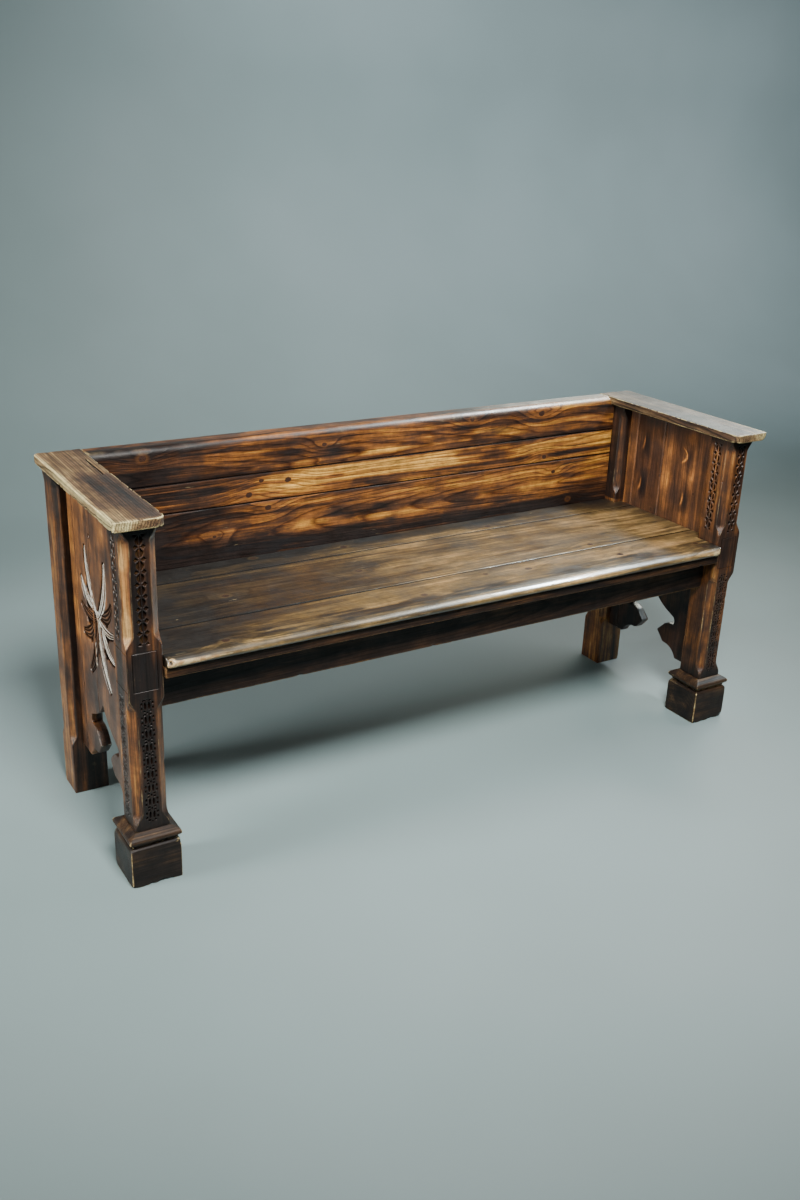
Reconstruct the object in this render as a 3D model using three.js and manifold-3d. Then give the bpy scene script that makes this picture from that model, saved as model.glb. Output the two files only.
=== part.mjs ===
// Church pew: a short fixed bench in stained pitch pine.
//
// Two framed ends (front post on a moulded plinth, square rear post, boarded
// panel with a cusped arch at its foot, flat armrest) carry a planked seat on
// a front apron, and a boarded back between the rear posts.
//
// Millimetres, +Z up. The sitter faces -Y, with +X on the sitter's left; the
// pieces named left are at -X, on the left of a person who faces the bench.
// The origin is on the floor, below the middle of the bench.

import * as THREE from 'three';
import { mergeVertices } from 'three/addons/utils/BufferGeometryUtils.js';
import Module from 'manifold-3d';

const wasm = await Module();
wasm.setup();

// ---------------------------------------------------------------- dimensions

const HEIGHT = 762;                 // floor to the top of the armrests and back
const GAP = 0.3;                    // play left between pieces that touch
const HALF_GAP = GAP / 2;

const ARM = { width: 99, thickness: 19, length: 500, outerX: 803 };
ARM.innerX = ARM.outerX - ARM.width;
ARM.underside = HEIGHT - ARM.thickness;

const FRONT_POST = { size: 70, x: 749, y: -192 };
FRONT_POST.innerX = FRONT_POST.x - FRONT_POST.size / 2;
FRONT_POST.rearY = FRONT_POST.y + FRONT_POST.size / 2;

const REAR_POST = { width: 76, depth: 72, x: 754, y: 196 };
REAR_POST.innerX = REAR_POST.x - REAR_POST.width / 2;
REAR_POST.frontY = REAR_POST.y - REAR_POST.depth / 2;

const PLINTH = { size: 104, height: 88, y: -190, topBevel: 4, mortiseDepth: 31 };
const COLLAR = { size: 108, height: 29, y: PLINTH.y, neckInset: 8, neck: 5, round: [15, 7], slopeRun: 17 };
COLLAR.top = PLINTH.height + COLLAR.height;
const POST_TENON = { size: 40, length: 59 };

const PANEL = { thickness: 24, x: 754, foot: 120 };
PANEL.innerX = PANEL.x - PANEL.thickness / 2;
const PANEL_JOINTS = [26, 127];     // Y of the joints between the panel's boards
const TONGUE = { thickness: 8, length: 8 };
const GROOVE = { width: TONGUE.thickness + 2 * GAP, depth: TONGUE.length + 0.5 };

// Half of the cusped arch, measured from its centre line.
const ARCH = {
  y: 0,
  apex: 288,
  shoulder: [70, 236],
  neck: [83, 230],                  // where the hooked shoulder turns in
  hook: [91, 220],                  // the curve's control point at the hook
  ledge: [[84, 209], [68, 209]],    // the small step above the cusp
  sag: [22, 254],                   // the control point of each pointed side
  cuspTop: [54, 203],
  cuspTip: [29, 177],
  cuspFoot: [53, 150],
  lobeCentre: [62, 104],
  lobeRadius: 45,
  footHalfWidth: 105,
};

const SEAT = { top: 483, thickness: 22, frontY: -249, noseX: 712, nose: 11, cornerR: [6, 12] };
SEAT.underside = SEAT.top - SEAT.thickness;
const SEAT_JOINTS = [-109, 116];    // Y of the joints between the seat's boards

const BACK = { frontY: 198, thickness: 32, foot: 440, capRearY: 250, noseR: 16, capRearR: 6 };
const BACK_JOINTS = [610, 676];     // Z of the joints between the back's boards
const BACK_TONGUE = { thickness: 12, length: 10 };

const BEARER = { frontY: -236, depth: 60, height: 22 };
const APRON = { frontY: -192, thickness: 22, foot: 360 };
const APRON_TENON = { thickness: 12, height: 50, length: 20, footAbove: 14 };
const CLEAT = { height: 36, thickness: 26 };
const CENTRE_BEARER = { width: 40, height: 60 };

const DOWEL = { radius: 6, intoPost: 38, intoArm: 12, sides: 16 };
const SCREW = { length: 42, shankR: 2.5, headR: 5, headHeight: 3, sides: 12 };
const SCREW_HEIGHT = SEAT.underside - GAP - CLEAT.height / 2;
const CLEAT_SCREWS_Y = [-90, 90];
const LEDGER_SCREWS_X = [-480, 0, 480];

const ROUND_STEPS = 6;              // straight steps in a quarter-round edge
const COLLAR_STEPS = 6;             // straight steps in the collar's round
const COLLAR_TURN = 0.75 * Math.PI; // how far round the collar's round goes

// ----------------------------------------------------------------- materials

const WOOD = {
  post: [0x4a2f1c, 0.5],
  plinth: [0x4b3526, 0.55],
  panel: [0x6e4222, 0.5],
  back: [0x6a4120, 0.42],
  seat: [0x6f5a42, 0.45],
  apron: [0x38291f, 0.6],
  arm: [0x877a62, 0.6],
  bare: [0x9a7648, 0.75],
};

function material(name) {
  if (name === 'steel') {
    return new THREE.MeshStandardMaterial({ color: 0x6d6a64, roughness: 0.45, metalness: 0.9 });
  }
  const [color, roughness] = WOOD[name];
  return new THREE.MeshStandardMaterial({ color, roughness, metalness: 0 });
}

// ------------------------------------------------------------ solid geometry

function toSolid(geometry) {
  const bare = geometry.clone();
  bare.deleteAttribute('normal');
  bare.deleteAttribute('uv');
  const merged = mergeVertices(bare, 1e-4);
  return new wasm.Manifold(new wasm.Mesh({
    numProp: 3,
    vertProperties: new Float32Array(merged.attributes.position.array),
    triVerts: new Uint32Array(merged.index.array),
  }));
}

function toGeometry(solid) {
  const mesh = solid.getMesh();
  const geometry = new THREE.BufferGeometry();
  geometry.setAttribute('position', new THREE.BufferAttribute(mesh.vertProperties, 3));
  geometry.setIndex(new THREE.BufferAttribute(mesh.triVerts, 1));
  geometry.computeVertexNormals();
  return geometry;
}

// A body from `start`, with the `added` geometries joined and the `cut` ones taken away.
function carve(start, { added = [], cut = [] } = {}) {
  let solid = toSolid(start);
  for (const piece of added) solid = solid.add(toSolid(piece));
  for (const piece of cut) solid = solid.subtract(toSolid(piece));
  return toGeometry(solid);
}

function common(a, b) {
  return toGeometry(toSolid(a).intersect(toSolid(b)));
}

// Box between two corners.
function box([x0, y0, z0], [x1, y1, z1]) {
  const geometry = new THREE.BoxGeometry(x1 - x0, y1 - y0, z1 - z0);
  return geometry.translate((x0 + x1) / 2, (y0 + y1) / 2, (z0 + z1) / 2);
}

function shapeOf(outline) {
  if (outline instanceof THREE.Shape) return outline;
  return new THREE.Shape(outline.map(([a, b]) => new THREE.Vector2(a, b)));
}

function extrude(outline, depth) {
  const settings = { depth, bevelEnabled: false, curveSegments: ROUND_STEPS };
  return new THREE.ExtrudeGeometry(shapeOf(outline), settings);
}

// An outline in plan, (x, y), raised from z0 to z1.
function extrudeUp(outline, z0, z1) {
  return extrude(outline, z1 - z0).translate(0, 0, z0);
}

// An end-on outline, (y, z), run from x0 to x1.
function extrudeAlongX(outline, x0, x1) {
  const turn = new THREE.Matrix4().makeBasis(
    new THREE.Vector3(0, 1, 0), new THREE.Vector3(0, 0, 1), new THREE.Vector3(1, 0, 0));
  return extrude(outline, x1 - x0).applyMatrix4(turn).translate(x0, 0, 0);
}

// A round bar with a stepped profile of [radius, distance] pairs along +Z.
function turned(profile, sides) {
  const points = profile.map(([r, z]) => new THREE.Vector2(r, z));
  return new THREE.LatheGeometry(points, sides).rotateX(Math.PI / 2);
}

// A square block whose mitred sides follow a profile of [half width, z] pairs.
function mitred(profile) {
  const points = profile.map(([half, z]) => new THREE.Vector2(half * Math.SQRT2, z));
  return new THREE.LatheGeometry(points, 4, Math.PI / 4).rotateX(Math.PI / 2);
}

// Turns every triangle of an index to face the other way.
function turnFaces(index) {
  for (let i = 0; i < index.length; i += 3) {
    [index[i + 1], index[i + 2]] = [index[i + 2], index[i + 1]];
  }
}

// The same geometry for the other end of the bench.
function mirrored(geometry) {
  const copy = geometry.clone().scale(-1, 1, 1);
  turnFaces(copy.index.array);
  copy.computeVertexNormals();
  return copy;
}

// Cutter for a stopped chamfer on the vertical edge at (x, y) of a post.
// (inX, inY) point from the edge into the wood; both ends run out over `runOut`.
function chamferCutter({ x, y, inX, inY, size, z0, z1, runOut }) {
  const margin = 3;
  const shy = -0.4;                 // the run-out ends just clear of the edge
  const levels = [[z0, shy], [z0 + runOut, size], [z1 - runOut, size], [z1, shy]];
  const positions = [];
  for (const [z, depth] of levels) {
    positions.push([-margin, -margin, z], [depth + margin, -margin, z], [-margin, depth + margin, z]);
  }
  const index = [0, 2, 1];
  for (let level = 0; level < levels.length - 1; level += 1) {
    for (let side = 0; side < 3; side += 1) {
      const a = level * 3 + side;
      const b = level * 3 + ((side + 1) % 3);
      index.push(a, b, b + 3, a, b + 3, a + 3);
    }
  }
  const last = (levels.length - 1) * 3;
  index.push(last, last + 1, last + 2);
  const flipped = inX * inY < 0;
  const points = positions.flatMap(([px, py, pz]) => [x + inX * px, y + inY * py, pz]);
  const geometry = new THREE.BufferGeometry();
  geometry.setAttribute('position', new THREE.Float32BufferAttribute(points, 3));
  if (flipped) turnFaces(index);
  geometry.setIndex(index);
  return geometry;
}

// --------------------------------------------------------------- scene graph

const pew = new THREE.Group();

function place(name, geometry, wood, position = [0, 0, 0], parent = pew) {
  const mesh = new THREE.Mesh(geometry, material(wood));
  mesh.name = name;
  mesh.position.set(...position);
  parent.add(mesh);
  return mesh;
}

// Builds a piece for both ends. The geometry is drawn for the end at +X, about
// a reference point that `at` gives with its X measured outward.
function placePair(name, geometry, wood, at) {
  for (const [end, side] of [['left', -1], ['right', 1]]) {
    const piece = side > 0 ? geometry : mirrored(geometry);
    place(`${end}_${name}`, piece, wood, [side * at[0], at[1], at[2]]);
  }
}

// --------------------------------------------------- plinths, collars, posts

function plinthBlock() {
  const half = PLINTH.size / 2;
  const bevel = PLINTH.topBevel;
  const block = mitred([[0, 0], [half, 0], [half, PLINTH.height - bevel],
    [half - bevel, PLINTH.height], [0, PLINTH.height]]);
  const m = POST_TENON.size / 2 + GAP;
  const dy = FRONT_POST.y - PLINTH.y;
  const mortise = box([-m, dy - m, PLINTH.height - PLINTH.mortiseDepth], [m, dy + m, PLINTH.height + 1]);
  return carve(block, { cut: [mortise] });
}

// Moulded ring between plinth and post: a sloped top, a round and a hollow neck.
function collar() {
  const half = COLLAR.size / 2;
  const h = COLLAR.height;
  const neckHalf = half - COLLAR.neckInset;
  const [roundZ, roundR] = COLLAR.round;
  const round = [];
  for (let step = 0; step <= COLLAR_STEPS; step += 1) {
    const turn = (step / COLLAR_STEPS - 0.5) * COLLAR_TURN;
    round.push([half - roundR * (1 - Math.cos(turn)), roundZ + roundR * Math.sin(turn)]);
  }
  const profile = [[0, GAP], [neckHalf, GAP], [neckHalf, COLLAR.neck], ...round,
    [half - COLLAR.slopeRun, h], [0, h]];
  const m = POST_TENON.size / 2 + GAP;
  const dy = FRONT_POST.y - COLLAR.y;
  return carve(mitred(profile), { cut: [box([-m, dy - m, -1], [m, dy + m, h + 1])] });
}

const FRONT_CHAMFER = { size: 16, runOut: 16, zones: [[126, 398], [500, 739]] };
const REAR_CHAMFER = { size: 14, runOut: 14, foot: 120, top: 722, underSeat: 436, overSeat: 503 };

function frontPost() {
  const half = FRONT_POST.size / 2;
  const foot = COLLAR.top + GAP;
  const top = ARM.underside - GAP;
  const t = POST_TENON.size / 2;
  const tenon = box([-t, -t, COLLAR.top - POST_TENON.length], [t, t, foot + 1]);
  const cutters = [];
  for (const inX of [1, -1]) {
    for (const [z0, z1] of FRONT_CHAMFER.zones) {
      const { size, runOut } = FRONT_CHAMFER;
      cutters.push(chamferCutter({ x: -inX * half, y: -half, inX, inY: 1, size, z0, z1, runOut }));
    }
  }
  const grooveX = PANEL.x - FRONT_POST.x;
  cutters.push(box([grooveX - GROOVE.width / 2, half - GROOVE.depth, PANEL.foot - GAP],
    [grooveX + GROOVE.width / 2, half + 1, top + 1]));
  const mortiseFoot = APRON.foot + APRON_TENON.footAbove - GAP;
  const mortiseY = APRON.frontY + APRON.thickness / 2 - FRONT_POST.y;
  const m = APRON_TENON.thickness / 2 + GAP;
  cutters.push(box([-half - 1, mortiseY - m, mortiseFoot],
    [-half + APRON_TENON.length + GAP, mortiseY + m, mortiseFoot + APRON_TENON.height + 2 * GAP]));
  cutters.push(dowelHole(0, 0));
  return carve(box([-half, -half, foot], [half, half, top]), { added: [tenon], cut: cutters });
}

function rearPost() {
  const w = REAR_POST.width / 2;
  const d = REAR_POST.depth / 2;
  const top = ARM.underside - GAP;
  const { size, runOut, foot, underSeat, overSeat } = REAR_CHAMFER;
  const edges = [
    [w, -d, foot, REAR_CHAMFER.top], [w, d, foot, REAR_CHAMFER.top],
    [-w, -d, foot, underSeat], [-w, -d, overSeat, REAR_CHAMFER.top], [-w, d, foot, underSeat],
  ];
  const cutters = edges.map(([x, y, z0, z1]) => chamferCutter({
    x, y, inX: -Math.sign(x), inY: -Math.sign(y), size, z0, z1, runOut,
  }));
  const grooveX = PANEL.x - REAR_POST.x;
  cutters.push(box([grooveX - GROOVE.width / 2, -d - 1, PANEL.foot - GAP],
    [grooveX + GROOVE.width / 2, -d + GROOVE.depth, top + 1]));
  const backY = BACK.frontY + BACK.thickness / 2 - REAR_POST.y;
  const g = BACK_TONGUE.thickness / 2 + GAP;
  cutters.push(box([-w - 1, backY - g, BACK.foot - GAP],
    [-w + BACK_TONGUE.length + 0.5, backY + g, top + 1]));
  cutters.push(dowelHole(0, 0));
  return carve(box([-w, -d, 0], [w, d, top]), { cut: cutters });
}

// A round cutter that clears a dowel, from z0 to z1.
function dowelCutter(z0, z1) {
  const r = DOWEL.radius + GAP;
  return turned([[0, z0], [r, z0], [r, z1], [0, z1]], DOWEL.sides);
}

function dowelHole(x, y) {
  const depth = DOWEL.intoPost + GAP;
  return dowelCutter(0, depth + 1).translate(x, y, ARM.underside - depth);
}

placePair('plinth_block', plinthBlock(), 'plinth', [FRONT_POST.x, PLINTH.y, 0]);
placePair('plinth_collar', collar(), 'plinth', [FRONT_POST.x, COLLAR.y, PLINTH.height]);
placePair('front_post', frontPost(), 'post', [FRONT_POST.x, FRONT_POST.y, 0]);
placePair('rear_post', rearPost(), 'post', [REAR_POST.x, REAR_POST.y, 0]);

// ---------------------------------------------------------------- end panels

// Elevation (y, z) of the wood in an end panel: everything above the cusped arch.
function panelElevation() {
  const shape = new THREE.Shape();
  const far = 200;
  const top = ARM.underside - GAP;
  const at = (side, [u, z]) => [ARCH.y + side * u, z];
  const lineThrough = (side, points) => {
    for (const point of points) shape.lineTo(...at(side, point));
  };
  const [lobeU, lobeZ] = ARCH.lobeCentre;
  const [ledgeOuter, ledgeInner] = ARCH.ledge;
  const cusp = [ARCH.cuspFoot, ARCH.cuspTip, ARCH.cuspTop, ledgeInner];
  const foot = [[ARCH.footHalfWidth, PANEL.foot], [far, PANEL.foot]];
  const footAngle = Math.asin((PANEL.foot - lobeZ) / ARCH.lobeRadius);
  const apex = [0, ARCH.apex];

  shape.moveTo(-far, top);
  lineThrough(-1, [...foot].reverse());
  shape.absarc(ARCH.y - lobeU, lobeZ, ARCH.lobeRadius, Math.PI - footAngle, Math.PI / 2, true);
  lineThrough(-1, [...cusp, ledgeOuter]);
  shape.quadraticCurveTo(...at(-1, ARCH.hook), ...at(-1, ARCH.neck));
  shape.lineTo(...at(-1, ARCH.shoulder));
  shape.quadraticCurveTo(...at(-1, ARCH.sag), ...at(-1, apex));
  shape.quadraticCurveTo(...at(1, ARCH.sag), ...at(1, ARCH.shoulder));
  shape.lineTo(...at(1, ARCH.neck));
  shape.quadraticCurveTo(...at(1, ARCH.hook), ...at(1, ledgeOuter));
  lineThrough(1, [...cusp].reverse());
  shape.lineTo(...at(1, [lobeU, lobeZ + ARCH.lobeRadius]));
  shape.absarc(ARCH.y + lobeU, lobeZ, ARCH.lobeRadius, Math.PI / 2, footAngle, true);
  lineThrough(1, foot.slice(1));
  shape.lineTo(far, top);
  return shape;
}

// Plan (x, y) of one board, with a tongue at its front edge and a groove or a
// second tongue at its rear edge.
function boardPlan(frontY, rearY, rearEdge) {
  const half = PANEL.thickness / 2;
  const t = TONGUE.thickness / 2;
  const g = GROOVE.width / 2;
  const y0 = frontY + HALF_GAP;
  const y1 = rearY - HALF_GAP;
  const rear = rearEdge === 'groove'
    ? [[half, y1], [g, y1], [g, y1 - GROOVE.depth], [-g, y1 - GROOVE.depth], [-g, y1], [-half, y1]]
    : [[half, y1], [t, y1], [t, y1 + TONGUE.length], [-t, y1 + TONGUE.length], [-t, y1], [-half, y1]];
  const tongueY = y0 - TONGUE.length;
  const front = [[-half, y0], [-t, y0], [-t, tongueY], [t, tongueY], [t, y0], [half, y0]];
  return [...front, ...rear];
}

function panelBoard(frontY, rearY, rearEdge, screwY) {
  const plan = extrudeUp(boardPlan(frontY, rearY, rearEdge), 0, HEIGHT);
  const elevation = extrudeAlongX(panelElevation(), -PANEL.thickness, PANEL.thickness);
  const board = common(plan, elevation);
  if (screwY === undefined) return board;
  const hole = cleatScrewHole().translate(-PANEL.thickness / 2 - CLEAT.thickness, screwY, 0);
  return carve(board, { cut: [hole] });
}

// Clearance round a screw that points outward along +X from x = 0.
function cleatScrewHole() {
  return screwAlongX(GAP).translate(0, 0, SCREW_HEIGHT);
}

// Countersunk wood screw pointing along +X, its head's face at x = 0.
function screwAlongX(play) {
  const r = SCREW.shankR + play;
  const profile = [[0, -play], [SCREW.headR + play, -play], [r, SCREW.headHeight + play],
    [r, SCREW.length - 6], [0, SCREW.length + play]];
  return turned(profile, SCREW.sides).rotateY(Math.PI / 2);
}

const panelSpans = [
  ['panel_front_board', FRONT_POST.rearY + HALF_GAP, PANEL_JOINTS[0], 'groove', CLEAT_SCREWS_Y[0]],
  ['panel_rear_board', PANEL_JOINTS[0], PANEL_JOINTS[1], 'groove', CLEAT_SCREWS_Y[1]],
  ['panel_fillet', PANEL_JOINTS[1], REAR_POST.frontY - HALF_GAP, 'tongue', undefined],
];
for (const [name, frontY, rearY, rearEdge, screwY] of panelSpans) {
  placePair(name, panelBoard(frontY, rearY, rearEdge, screwY), 'panel', [PANEL.x, 0, 0]);
}

// ------------------------------------------------------------------ armrests

const ARM_FRONT_CLIP = 5;           // outer front corner
const ARM_REAR_CLIP = { left: [6, 9], right: [4, 6] };
const ARM_INNER_R = 18;             // rounded inner front corner

// Plan of an armrest, drawn for the end at +X about the armrest's own centre.
function armOutline([clipX, clipY]) {
  const w = ARM.width / 2;
  const l = ARM.length / 2;
  const shape = new THREE.Shape();
  shape.moveTo(-w, l);
  shape.lineTo(-w, -l + ARM_INNER_R);
  shape.absarc(-w + ARM_INNER_R, -l + ARM_INNER_R, ARM_INNER_R, Math.PI, 1.5 * Math.PI, false);
  shape.lineTo(w - ARM_FRONT_CLIP, -l);
  shape.lineTo(w, -l + ARM_FRONT_CLIP);
  shape.lineTo(w, l - clipY);
  shape.lineTo(w - clipX, l);
  return shape;
}

const ARM_X = ARM.outerX - ARM.width / 2;
const DOWEL_SPOTS = [['front', FRONT_POST], ['rear', REAR_POST]];

for (const [end, side] of [['left', -1], ['right', 1]]) {
  const slab = extrudeUp(armOutline(ARM_REAR_CLIP[end]), 0, ARM.thickness);
  const depth = DOWEL.intoArm + GAP;
  const holes = DOWEL_SPOTS.map(([, post]) => (
    dowelCutter(-1, depth).translate(post.x - ARM_X, post.y, 0)));
  const arm = carve(slab, { cut: holes });
  place(`${end}_armrest`, side > 0 ? arm : mirrored(arm), 'arm', [side * ARM_X, 0, ARM.underside]);
}

function dowel() {
  const bevel = 1;
  const h = DOWEL.intoPost + DOWEL.intoArm;
  const r = DOWEL.radius;
  const profile = [[0, 0], [r - bevel, 0], [r, bevel], [r, h - bevel], [r - bevel, h], [0, h]];
  return turned(profile, DOWEL.sides);
}

for (const [spot, post] of DOWEL_SPOTS) {
  placePair(`${spot}_arm_dowel`, dowel(), 'bare', [post.x, post.y, ARM.underside - DOWEL.intoPost]);
}

// ---------------------------------------------------------------------- back

// Board ends: full thickness between the posts, then a tongue into each post.
function backBoard(z0, z1) {
  const end = REAR_POST.innerX - GAP;
  const t = BACK_TONGUE.thickness / 2;
  const midY = BACK.frontY + BACK.thickness / 2;
  const body = box([-end, BACK.frontY, z0], [end, BACK.frontY + BACK.thickness, z1]);
  const reach = end + BACK_TONGUE.length;
  const tongue = box([-reach, midY - t, z0], [reach, midY + t, z1]);
  return carve(body, { added: [tongue] });
}

// Top rail: the uppermost board with a cap that fills the space between the arms.
function backTopRail() {
  const z0 = BACK_JOINTS[1] + HALF_GAP;
  const board = backBoard(z0, ARM.underside - GAP);
  const { noseR, capRearR: rearR } = BACK;
  const shape = new THREE.Shape();
  shape.moveTo(BACK.frontY, z0 + 1);
  shape.lineTo(BACK.frontY + BACK.thickness, z0 + 1);
  shape.lineTo(BACK.frontY + BACK.thickness, ARM.underside);
  shape.lineTo(BACK.capRearY, ARM.underside);
  shape.lineTo(BACK.capRearY, HEIGHT - rearR);
  shape.absarc(BACK.capRearY - rearR, HEIGHT - rearR, rearR, 0, Math.PI / 2, false);
  shape.lineTo(BACK.frontY + noseR, HEIGHT);
  shape.absarc(BACK.frontY + noseR, HEIGHT - noseR, noseR, Math.PI / 2, Math.PI, false);
  const end = ARM.innerX - GAP;
  return carve(board, { added: [extrudeAlongX(shape, -end, end)] });
}

place('back_top_rail', backTopRail(), 'back');
place('back_middle_board', backBoard(BACK_JOINTS[0] + HALF_GAP, BACK_JOINTS[1] - HALF_GAP), 'back');
const ledgerHoles = LEDGER_SCREWS_X.map((x) => ledgerScrewHole(x));
place('back_lower_board',
  carve(backBoard(BACK.foot, BACK_JOINTS[0] - HALF_GAP), { cut: ledgerHoles }), 'back');

// Countersunk screw that points to the rear, and the hole it sits in.
function screwAlongY(play) {
  return screwAlongX(play).rotateZ(Math.PI / 2);
}

function ledgerScrewHole(x) {
  return screwAlongY(GAP).translate(x, BACK.frontY - GAP - CLEAT.thickness, SCREW_HEIGHT);
}

// ---------------------------------------------------------------------- seat

const SEAT_END_X = PANEL.innerX - GAP;

// Front seat board: narrow between the front posts, wide between the panels,
// with a rounded nose and rounded front corners.
function seatFrontBoard() {
  const y0 = SEAT.frontY;
  const y1 = SEAT_JOINTS[0] - HALF_GAP;
  const shoulder = FRONT_POST.rearY + GAP;
  const [leftR, rightR] = SEAT.cornerR;
  const plan = new THREE.Shape();
  plan.moveTo(-SEAT.noseX + leftR, y0);
  plan.lineTo(SEAT.noseX - rightR, y0);
  plan.absarc(SEAT.noseX - rightR, y0 + rightR, rightR, -Math.PI / 2, 0, false);
  plan.lineTo(SEAT.noseX, shoulder);
  plan.lineTo(SEAT_END_X, shoulder);
  plan.lineTo(SEAT_END_X, y1);
  plan.lineTo(-SEAT_END_X, y1);
  plan.lineTo(-SEAT_END_X, shoulder);
  plan.lineTo(-SEAT.noseX, shoulder);
  plan.lineTo(-SEAT.noseX, y0 + leftR);
  plan.absarc(-SEAT.noseX + leftR, y0 + leftR, leftR, Math.PI, 1.5 * Math.PI, false);
  const edge = new THREE.Shape();
  edge.moveTo(y1 + 1, SEAT.underside);
  edge.lineTo(y1 + 1, SEAT.top);
  edge.lineTo(y0 + SEAT.nose, SEAT.top);
  edge.absarc(y0 + SEAT.nose, SEAT.top - SEAT.nose, SEAT.nose, Math.PI / 2, 1.5 * Math.PI, false);
  return common(extrudeUp(plan, SEAT.underside - 1, SEAT.top + 1), extrudeAlongX(edge, -HEIGHT, HEIGHT));
}

function seatMiddleBoard() {
  const [y0, y1] = SEAT_JOINTS;
  return box([-SEAT_END_X, y0 + HALF_GAP, SEAT.underside], [SEAT_END_X, y1 - HALF_GAP, SEAT.top]);
}

// Rear seat board, notched round the rear posts.
function seatRearBoard() {
  const y0 = SEAT_JOINTS[1] + HALF_GAP;
  const shoulder = REAR_POST.frontY - GAP;
  const y1 = BACK.frontY - GAP;
  const neck = REAR_POST.innerX - GAP;
  const plan = [[-SEAT_END_X, y0], [SEAT_END_X, y0], [SEAT_END_X, shoulder], [neck, shoulder],
    [neck, y1], [-neck, y1], [-neck, shoulder], [-SEAT_END_X, shoulder]];
  return extrudeUp(plan, SEAT.underside, SEAT.top);
}

place('seat_front_board', seatFrontBoard(), 'seat');
place('seat_middle_board', seatMiddleBoard(), 'seat');
place('seat_rear_board', seatRearBoard(), 'seat');

// ----------------------------------------------- what the seat is carried on

const BETWEEN_POSTS_X = FRONT_POST.innerX - GAP;
const BEARER_FOOT = SEAT.underside - GAP - BEARER.height;

function frontApron() {
  const y0 = APRON.frontY;
  const y1 = y0 + APRON.thickness;
  const top = BEARER_FOOT - GAP;
  const t = APRON_TENON.thickness / 2;
  const midY = (y0 + y1) / 2;
  const reach = BETWEEN_POSTS_X + APRON_TENON.length;
  const foot = APRON.foot + APRON_TENON.footAbove;
  const tenons = box([-reach, midY - t, foot], [reach, midY + t, foot + APRON_TENON.height]);
  return carve(box([-BETWEEN_POSTS_X, y0, APRON.foot], [BETWEEN_POSTS_X, y1, top]), { added: [tenons] });
}

function frontBearer() {
  const { frontY, depth } = BEARER;
  return box([-BETWEEN_POSTS_X, frontY, BEARER_FOOT],
    [BETWEEN_POSTS_X, frontY + depth, SEAT.underside - GAP]);
}

const CLEAT_TOP = SEAT.underside - GAP;

function endCleat() {
  const x1 = PANEL.innerX - GAP;
  const bar = box([x1 - CLEAT.thickness, FRONT_POST.rearY + GAP, CLEAT_TOP - CLEAT.height],
    [x1, REAR_POST.frontY - GAP, CLEAT_TOP]);
  const holes = CLEAT_SCREWS_Y.map((y) => cleatScrewHole().translate(x1 - CLEAT.thickness, y, 0));
  return carve(bar, { cut: holes });
}

function rearLedger() {
  const y1 = BACK.frontY - GAP;
  const end = REAR_POST.innerX - GAP;
  const bar = box([-end, y1 - CLEAT.thickness, CLEAT_TOP - CLEAT.height], [end, y1, CLEAT_TOP]);
  return carve(bar, { cut: ledgerHoles });
}

function centreBearer() {
  const half = CENTRE_BEARER.width / 2;
  const y0 = APRON.frontY + APRON.thickness + GAP;
  const y1 = BACK.frontY - CLEAT.thickness - 2 * GAP;
  return box([-half, y0, CLEAT_TOP - CENTRE_BEARER.height], [half, y1, CLEAT_TOP]);
}

place('seat_front_bearer', frontBearer(), 'apron');
place('front_apron', frontApron(), 'apron');
placePair('seat_cleat', endCleat(), 'bare', [0, 0, 0]);
place('seat_rear_ledger', rearLedger(), 'bare');
place('seat_centre_bearer', centreBearer(), 'bare');

for (const [index, y] of CLEAT_SCREWS_Y.entries()) {
  const x = PANEL.innerX - GAP - CLEAT.thickness;
  placePair(`cleat_screw_${index + 1}`, screwAlongX(0), 'steel', [x, y, SCREW_HEIGHT]);
}
for (const [index, x] of LEDGER_SCREWS_X.entries()) {
  const y = BACK.frontY - GAP - CLEAT.thickness;
  place(`ledger_screw_${index + 1}`, screwAlongY(0), 'steel', [x, y, SCREW_HEIGHT]);
}

export default pew;
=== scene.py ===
import itertools
import math

import bmesh
import bpy
import numpy as np
from mathutils import Matrix, Vector


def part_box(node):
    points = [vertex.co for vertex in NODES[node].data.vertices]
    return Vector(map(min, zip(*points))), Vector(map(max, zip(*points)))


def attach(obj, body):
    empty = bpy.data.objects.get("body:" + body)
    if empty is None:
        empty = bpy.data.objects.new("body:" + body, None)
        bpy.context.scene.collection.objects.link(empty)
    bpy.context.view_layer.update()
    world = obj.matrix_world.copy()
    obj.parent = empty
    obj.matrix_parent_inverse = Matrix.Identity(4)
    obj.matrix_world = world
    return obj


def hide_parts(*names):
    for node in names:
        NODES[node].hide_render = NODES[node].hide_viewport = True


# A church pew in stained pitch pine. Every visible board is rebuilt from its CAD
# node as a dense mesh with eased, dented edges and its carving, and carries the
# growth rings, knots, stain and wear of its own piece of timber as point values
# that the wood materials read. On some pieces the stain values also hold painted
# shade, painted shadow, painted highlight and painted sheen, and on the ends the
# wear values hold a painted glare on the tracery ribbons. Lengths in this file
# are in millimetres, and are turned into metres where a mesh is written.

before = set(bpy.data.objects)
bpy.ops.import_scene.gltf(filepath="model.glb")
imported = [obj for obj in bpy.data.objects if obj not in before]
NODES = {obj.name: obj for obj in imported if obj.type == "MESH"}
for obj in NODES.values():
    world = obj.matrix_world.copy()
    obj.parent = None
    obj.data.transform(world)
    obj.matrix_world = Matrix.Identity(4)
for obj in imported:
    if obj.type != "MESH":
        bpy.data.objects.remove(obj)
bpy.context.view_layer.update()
MM = 0.001
X, Y, Z = 0, 1, 2


# ------------------------------------------------------------------ array tools

def ramp(value, low, high):
    """0 below low, 1 above high, smooth between."""
    t = np.clip((value - low) / (high - low), 0.0, 1.0)
    return t * t * (3.0 - 2.0 * t)


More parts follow.
